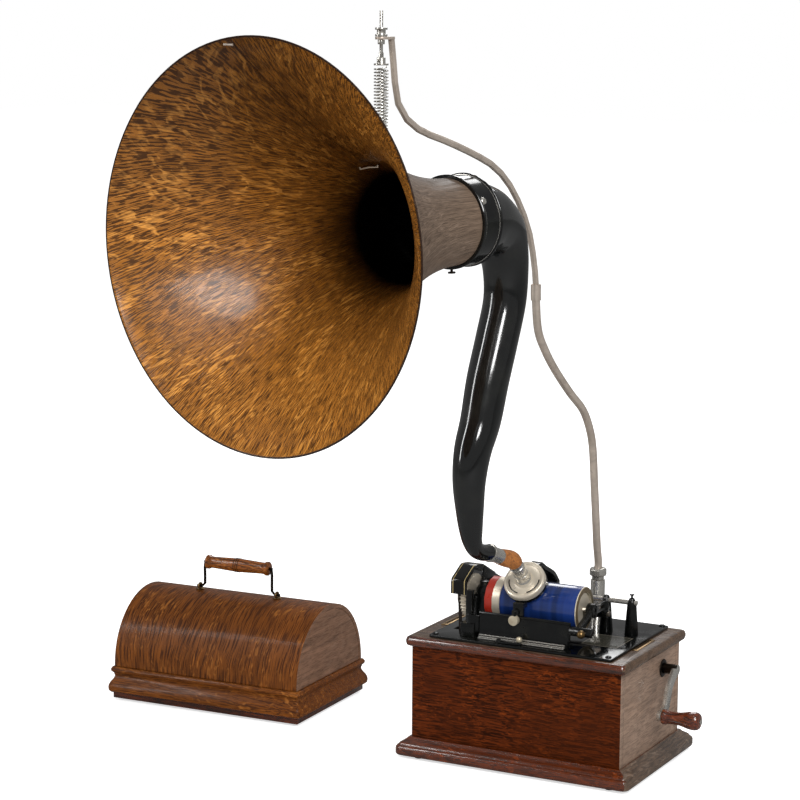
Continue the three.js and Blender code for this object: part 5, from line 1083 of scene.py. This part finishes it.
class PHONO_OT_elbow(bpy.types.Operator):
    """Make the black curved neck and its ferrule"""
    bl_idname = "phono.elbow"
    bl_label = "Neck"

    def execute(self, context):
        curve = rounded([on_neck(along, height) for along, height, share in NECK_SHARES])
        radii = rounded([NECK_RADIUS * share for along, height, share in NECK_SHARES])
        dress(sweep("black_neck", curve, radii, 48), "horn", "neck_enamel", ["horn_elbow"])
        span = (NECK_RIM - HOSE_END).length / MM
        rows = [(7.6, 0.3), (9.2, 0.3), (9.6, 0.8), (9.6, span - 6), (10.4, span - 5), (11.4, span - 4.4),
                (11.6, span - 2.6), (11.4, span - 0.8), (10.8, span - 0.5), (7.6, span - 0.5)]
        ferrule = lathe("neck_ferrule", rows, facing(NECK_RIM - HOSE_END, HOSE_END), 48, 30, closed=True)
        dress(ferrule, "horn", "aged_nickel", ["elbow_ferrule"])
        recut("horn_loop", "hanging_loop", "aged_brass", 0.0, 60)
        return {"FINISHED"}


class PHONO_OT_crane(bpy.types.Operator):
    """Make the crane's bent tubes, its socket and its nut"""
    bl_idname = "phono.crane"
    bl_label = "Crane"

    def execute(self, context):
        recut("crane_socket", "socket_bracket", "aged_nickel", 0.5, 38)
        curve = rounded([CRANE_FOOT + CRANE_REACH * along + CRANE_RISE * height
                         for along, height in CRANE_SHARES])
        end = CRANE_JOINT_ROW * CURVE_STEPS
        lower = sweep("crane_lower", curve[:end], CRANE_TUBE_RADIUS, 24)
        sleeve = sweep("crane_joint", curve[end - CURVE_STEPS:end], CRANE_SLEEVE_RADIUS, 24)
        dress(joined("crane_lower", [lower, sleeve]), "crane", "dull_steel", ["crane_lower_tube"])
        recut("crane_upper_tube", "crane_tab", "dull_steel", 0.2, 50)
        nut = lathe("crane_collar_nut", CRANE_NUT_OUTLINE, upright(*CRANE_XY), 12, 20, closed=True)
        dress(nut, "crane_nut", "aged_nickel", ["crane_nut"])
        return {"FINISHED"}


class PHONO_OT_hanger(bpy.types.Operator):
    """Dress the spring, the hook and the rod that carry the horn"""
    bl_idname = "phono.hanger"
    bl_label = "Hanger"

    def execute(self, context):
        recut("hanger_rod", "rod", "aged_nickel", 0.2, 45)
        recut("hanger_coupling", "coupling", "aged_nickel", 0.2, 45)
        recut("hanger_hook", "hook", "aged_nickel", 0.1, 45)
        recut("hanger_nut", "top_nut", "aged_nickel", 0.3)
        recut("hanger_spring", "spring", "aged_nickel", 0.0, 80)
        return {"FINISHED"}


class PHONO_OT_crank(bpy.types.Operator):
    """Dress the crank and make its turned grip and its escutcheon"""
    bl_idname = "phono.crank"
    bl_label = "Crank"

    def execute(self, context):
        paint(recut("crank", "crank_lever", "aged_nickel", 0.7, 35), "dark_bronze",
              lambda middle, normal: middle.x < CRANK_ARM_LEFT)
        grip = lathe("grip", CRANK_GRIP_OUTLINE, along_x(CRANK_GRIP_Y, CRANK_GRIP_Z), 56, 50, closed=True)
        dress(grip, "crank_grip", "turned_grip", ["crank_grip"])
        ring = lathe("crank_escutcheon", ESCUTCHEON_OUTLINE, along_x(CRANK_Y, CRANK_Z), 48, 40, closed=True)
        dress(ring, "base", "dark_bronze")
        return {"FINISHED"}


class PHONO_OT_motor(bpy.types.Operator):
    """Dress the spring motor inside the case"""
    bl_idname = "phono.motor"
    bl_label = "Motor"

    def execute(self, context):
        recut("motor_frame", "motor_plates", "dull_steel", 0.3)
        recut("spring_barrel", "barrel", "aged_brass", 0.2)
        recut("governor", "speed_governor", "aged_brass", 0.2)
        recut("drive_pulley", "lower_pulley", "aged_brass", 0.2)
        recut("drive_belt", "belt", "belt_leather", 0.2)
        return {"FINISHED"}


def make_grip_lines():
    """The three dark lines turned into the middle of the lid's grip."""
    way = Vector((math.cos(LID_YAW), math.sin(LID_YAW), 0))
    out = Vector((-math.sin(LID_YAW), math.cos(LID_YAW), 0))
    place = basis(out, Vector((0, 0, 1)), way, LID_GRIP_MIDDLE)
    rings = []
    for at in (-3, 0, 3):
        outline = [(9.2, at - 0.5), (9.85, at - 0.35), (9.85, at + 0.35), (9.2, at + 0.5)]
        rings.append(lathe(f"grip_line_{at}", outline, place, 48, 30, closed=True))
    dress(joined("grip_lines", rings), BODY_OF["lid_grip"], "dark_bronze")


class PHONO_OT_lid(bpy.types.Operator):
    """Dress the arched lid with its bail and latches"""
    bl_idname = "phono.lid"
    bl_label = "Lid"

    def execute(self, context):
        paint(recut("lid_vault", "vault", "lid_vault_oak", 0.3, 25), "lid_end_oak",
              lambda middle, normal: abs(normal.x) > 0.8)
        for side in ("left", "right"):
            recut(f"lid_end_{side}", f"end_board_{side}", "lid_end_oak", 0.8, 25)
        paint(recut("lid_moulding", "lid_rim", "lid_rim_oak", 0.8, 25), "top_edge_oak",
              lambda middle, normal: middle.z < LID_SHADOW_TOP)
        for node in ("latch_left", "latch_right"):
            recut(node, node + "_plate", "dull_steel", 0.3)
        for node in ("bail_eye_left", "bail_eye_right"):
            recut(node, node + "_ring", "aged_brass", 0.3, 45)
        recut("lid_bail", "bail_wire", "dark_bronze", 0.0, 60)
        recut("lid_grip", "bail_grip", "turned_bail_grip", 0.3, 45)
        make_grip_lines()
        return {"FINISHED"}


def set_camera(scene):
    """The camera of the photo, from its turn about the object, its tilt and its small roll."""
    azimuth, elevation, roll = CAMERA_TURNS
    back = Vector((math.sin(azimuth) * math.cos(elevation), -math.cos(azimuth) * math.cos(elevation),
                   math.sin(elevation)))
    right = Vector((math.cos(azimuth), math.sin(azimuth), 0))
    up = back.cross(right)
    tilted = right * math.cos(roll) + up * math.sin(roll)
    raised = up * math.cos(roll) - right * math.sin(roll)
    bpy.ops.object.select_all(action="DESELECT")
    bpy.ops.object.camera_add()
    camera = bpy.context.object
    camera.name = "photo_camera"
    camera.matrix_world = basis(tilted, raised, back, CAMERA_PLACE)
    camera.data.lens = CAMERA_LENS
    camera.data.sensor_width = 36
    camera.data.clip_end = 60
    scene.camera = camera


def lay_floor(stage):
    """A plain pale floor that the camera sees bright and the metals see grey."""
    bpy.ops.mesh.primitive_plane_add(size=FLOOR_SIZE, location=FLOOR_PLACE)
    floor = bpy.context.object
    floor.name = "floor"
    made = Recipe("pale_floor")
    ray = made.add("ShaderNodeLightPath")
    ground = made.mix(ray.outputs["Is Glossy Ray"], stage.floor, stage.mirrored_floor)
    made.set(Base_Color=ground, Roughness=0.9, Specular_IOR_Level=0.0)
    glow = made.add("ShaderNodeEmission")
    made.feed(glow.inputs["Strength"], made.times(ray.outputs["Is Camera Ray"], stage.glow))
    both = made.add("ShaderNodeAddShader")
    made.feed(both.inputs[0], made.shader.outputs[0])
    made.feed(both.inputs[1], glow.outputs[0])
    made.feed(made.out.inputs[0], both.outputs[0])
    floor.data.materials.append(made.material)


def light_room(scene, stage):
    """An even white room, at full strength to the camera and dimmed in reflections."""
    world = bpy.data.worlds.new("room")
    scene.world = world
    world.use_nodes = True
    tree = world.node_tree
    tree.nodes.clear()
    out, sky, path, dimmed, brighter = (tree.nodes.new("ShaderNode" + kind) for kind in (
        "OutputWorld", "Background", "LightPath", "MapRange", "Math"))
    dimmed.inputs["To Min"].default_value = stage.air
    dimmed.inputs["To Max"].default_value = stage.mirrored
    brighter.operation = "MAXIMUM"
    sky.inputs["Color"].default_value = (1, 1, 1, 1)
    for start, end in ((path.outputs["Is Glossy Ray"], dimmed.inputs["Value"]),
                       (dimmed.outputs[0], brighter.inputs[0]),
                       (path.outputs["Is Camera Ray"], brighter.inputs[1]),
                       (brighter.outputs[0], sky.inputs["Strength"]),
                       (sky.outputs[0], out.inputs[0])):
        tree.links.new(start, end)


def hang_lamps(stage):
    """A tall key light at the right, a narrow fill at the left and a square light behind."""
    for name, place, power_set, size in (
        ("key", (2.0, -2.5, 2.8), stage.key, (0.8, 2.4)),
        ("fill", (-2.3, -2.0, 1.7), stage.fill, (0.3, 2.4)),
        ("rim", (-0.8, 2.4, 2.2), stage.fill, (1.2, 1.2)),
    ):
        bpy.ops.object.select_all(action="DESELECT")
        bpy.ops.object.light_add(type="AREA", location=place)
        lamp = bpy.context.object
        lamp.name = name + "_light"
        lamp.data.energy = power_set
        lamp.data.shape = "RECTANGLE"
        lamp.data.size, lamp.data.size_y = size
        lamp.rotation_euler = (LAMP_AIM - Vector(place)).to_track_quat("-Z", "Y").to_euler()


class PHONO_OT_stage(bpy.types.Operator):
    """Set up the camera, the floor, the lights and the room"""
    bl_idname = "phono.stage"
    bl_label = "Camera, floor and light"

    def execute(self, context):
        scene = context.scene
        set_camera(scene)
        lay_floor(scene.phonograph_stage)
        light_room(scene, scene.phonograph_stage)
        hang_lamps(scene.phonograph_stage)
        scene.view_settings.view_transform = "Standard"
        return {"FINISHED"}


class PHONO_PT_panel(bpy.types.Panel):
    """The pieces of the phonograph"""
    bl_label = "Phonograph"
    bl_idname = "PHONO_PT_panel"
    bl_space_type = "VIEW_3D"
    bl_region_type = "UI"
    bl_category = "Phonograph"

    def draw(self, context):
        for step in STEPS:
            self.layout.operator(step.bl_idname)
        for group in ("phonograph_woods", "phonograph_metals", "phonograph_sizes", "phonograph_stage"):
            box = self.layout.box()
            settings = getattr(context.scene, group)
            for key in settings.bl_rna.properties.keys():
                if key not in ("rna_type", "name"):
                    box.prop(settings, key)


STEPS = (PHONO_OT_stage, PHONO_OT_finishes, PHONO_OT_case, PHONO_OT_bed, PHONO_OT_works, PHONO_OT_carriage,
         PHONO_OT_horn, PHONO_OT_elbow, PHONO_OT_crane, PHONO_OT_hanger, PHONO_OT_crank, PHONO_OT_motor,
         PHONO_OT_lid)
GROUPS = (("phonograph_woods", PhonographWoods), ("phonograph_metals", PhonographMetals),
          ("phonograph_sizes", PhonographSizes), ("phonograph_stage", PhonographStage))


def register():
    """Register the settings, the operators and the panel."""
    for name, group in GROUPS:
        bpy.utils.register_class(group)
        setattr(bpy.types.Scene, name, PointerProperty(type=group))
    for step in STEPS + (PHONO_PT_panel,):
        bpy.utils.register_class(step)


def unregister():
    """Take the panel, the operators and the settings away again."""
    for step in reversed(STEPS + (PHONO_PT_panel,)):
        bpy.utils.unregister_class(step)
    for name, group in reversed(GROUPS):
        delattr(bpy.types.Scene, name)
        bpy.utils.unregister_class(group)


def main():
    """Make every piece in order."""
    register()
    bpy.ops.phono.stage()
    bpy.ops.phono.finishes()
    bpy.ops.phono.case()
    bpy.ops.phono.bed()
    bpy.ops.phono.works()
    bpy.ops.phono.carriage()
    bpy.ops.phono.horn()
    bpy.ops.phono.elbow()
    bpy.ops.phono.crane()
    bpy.ops.phono.hanger()
    bpy.ops.phono.crank()
    bpy.ops.phono.motor()
    bpy.ops.phono.lid()


if __name__ == "__main__":
    main()
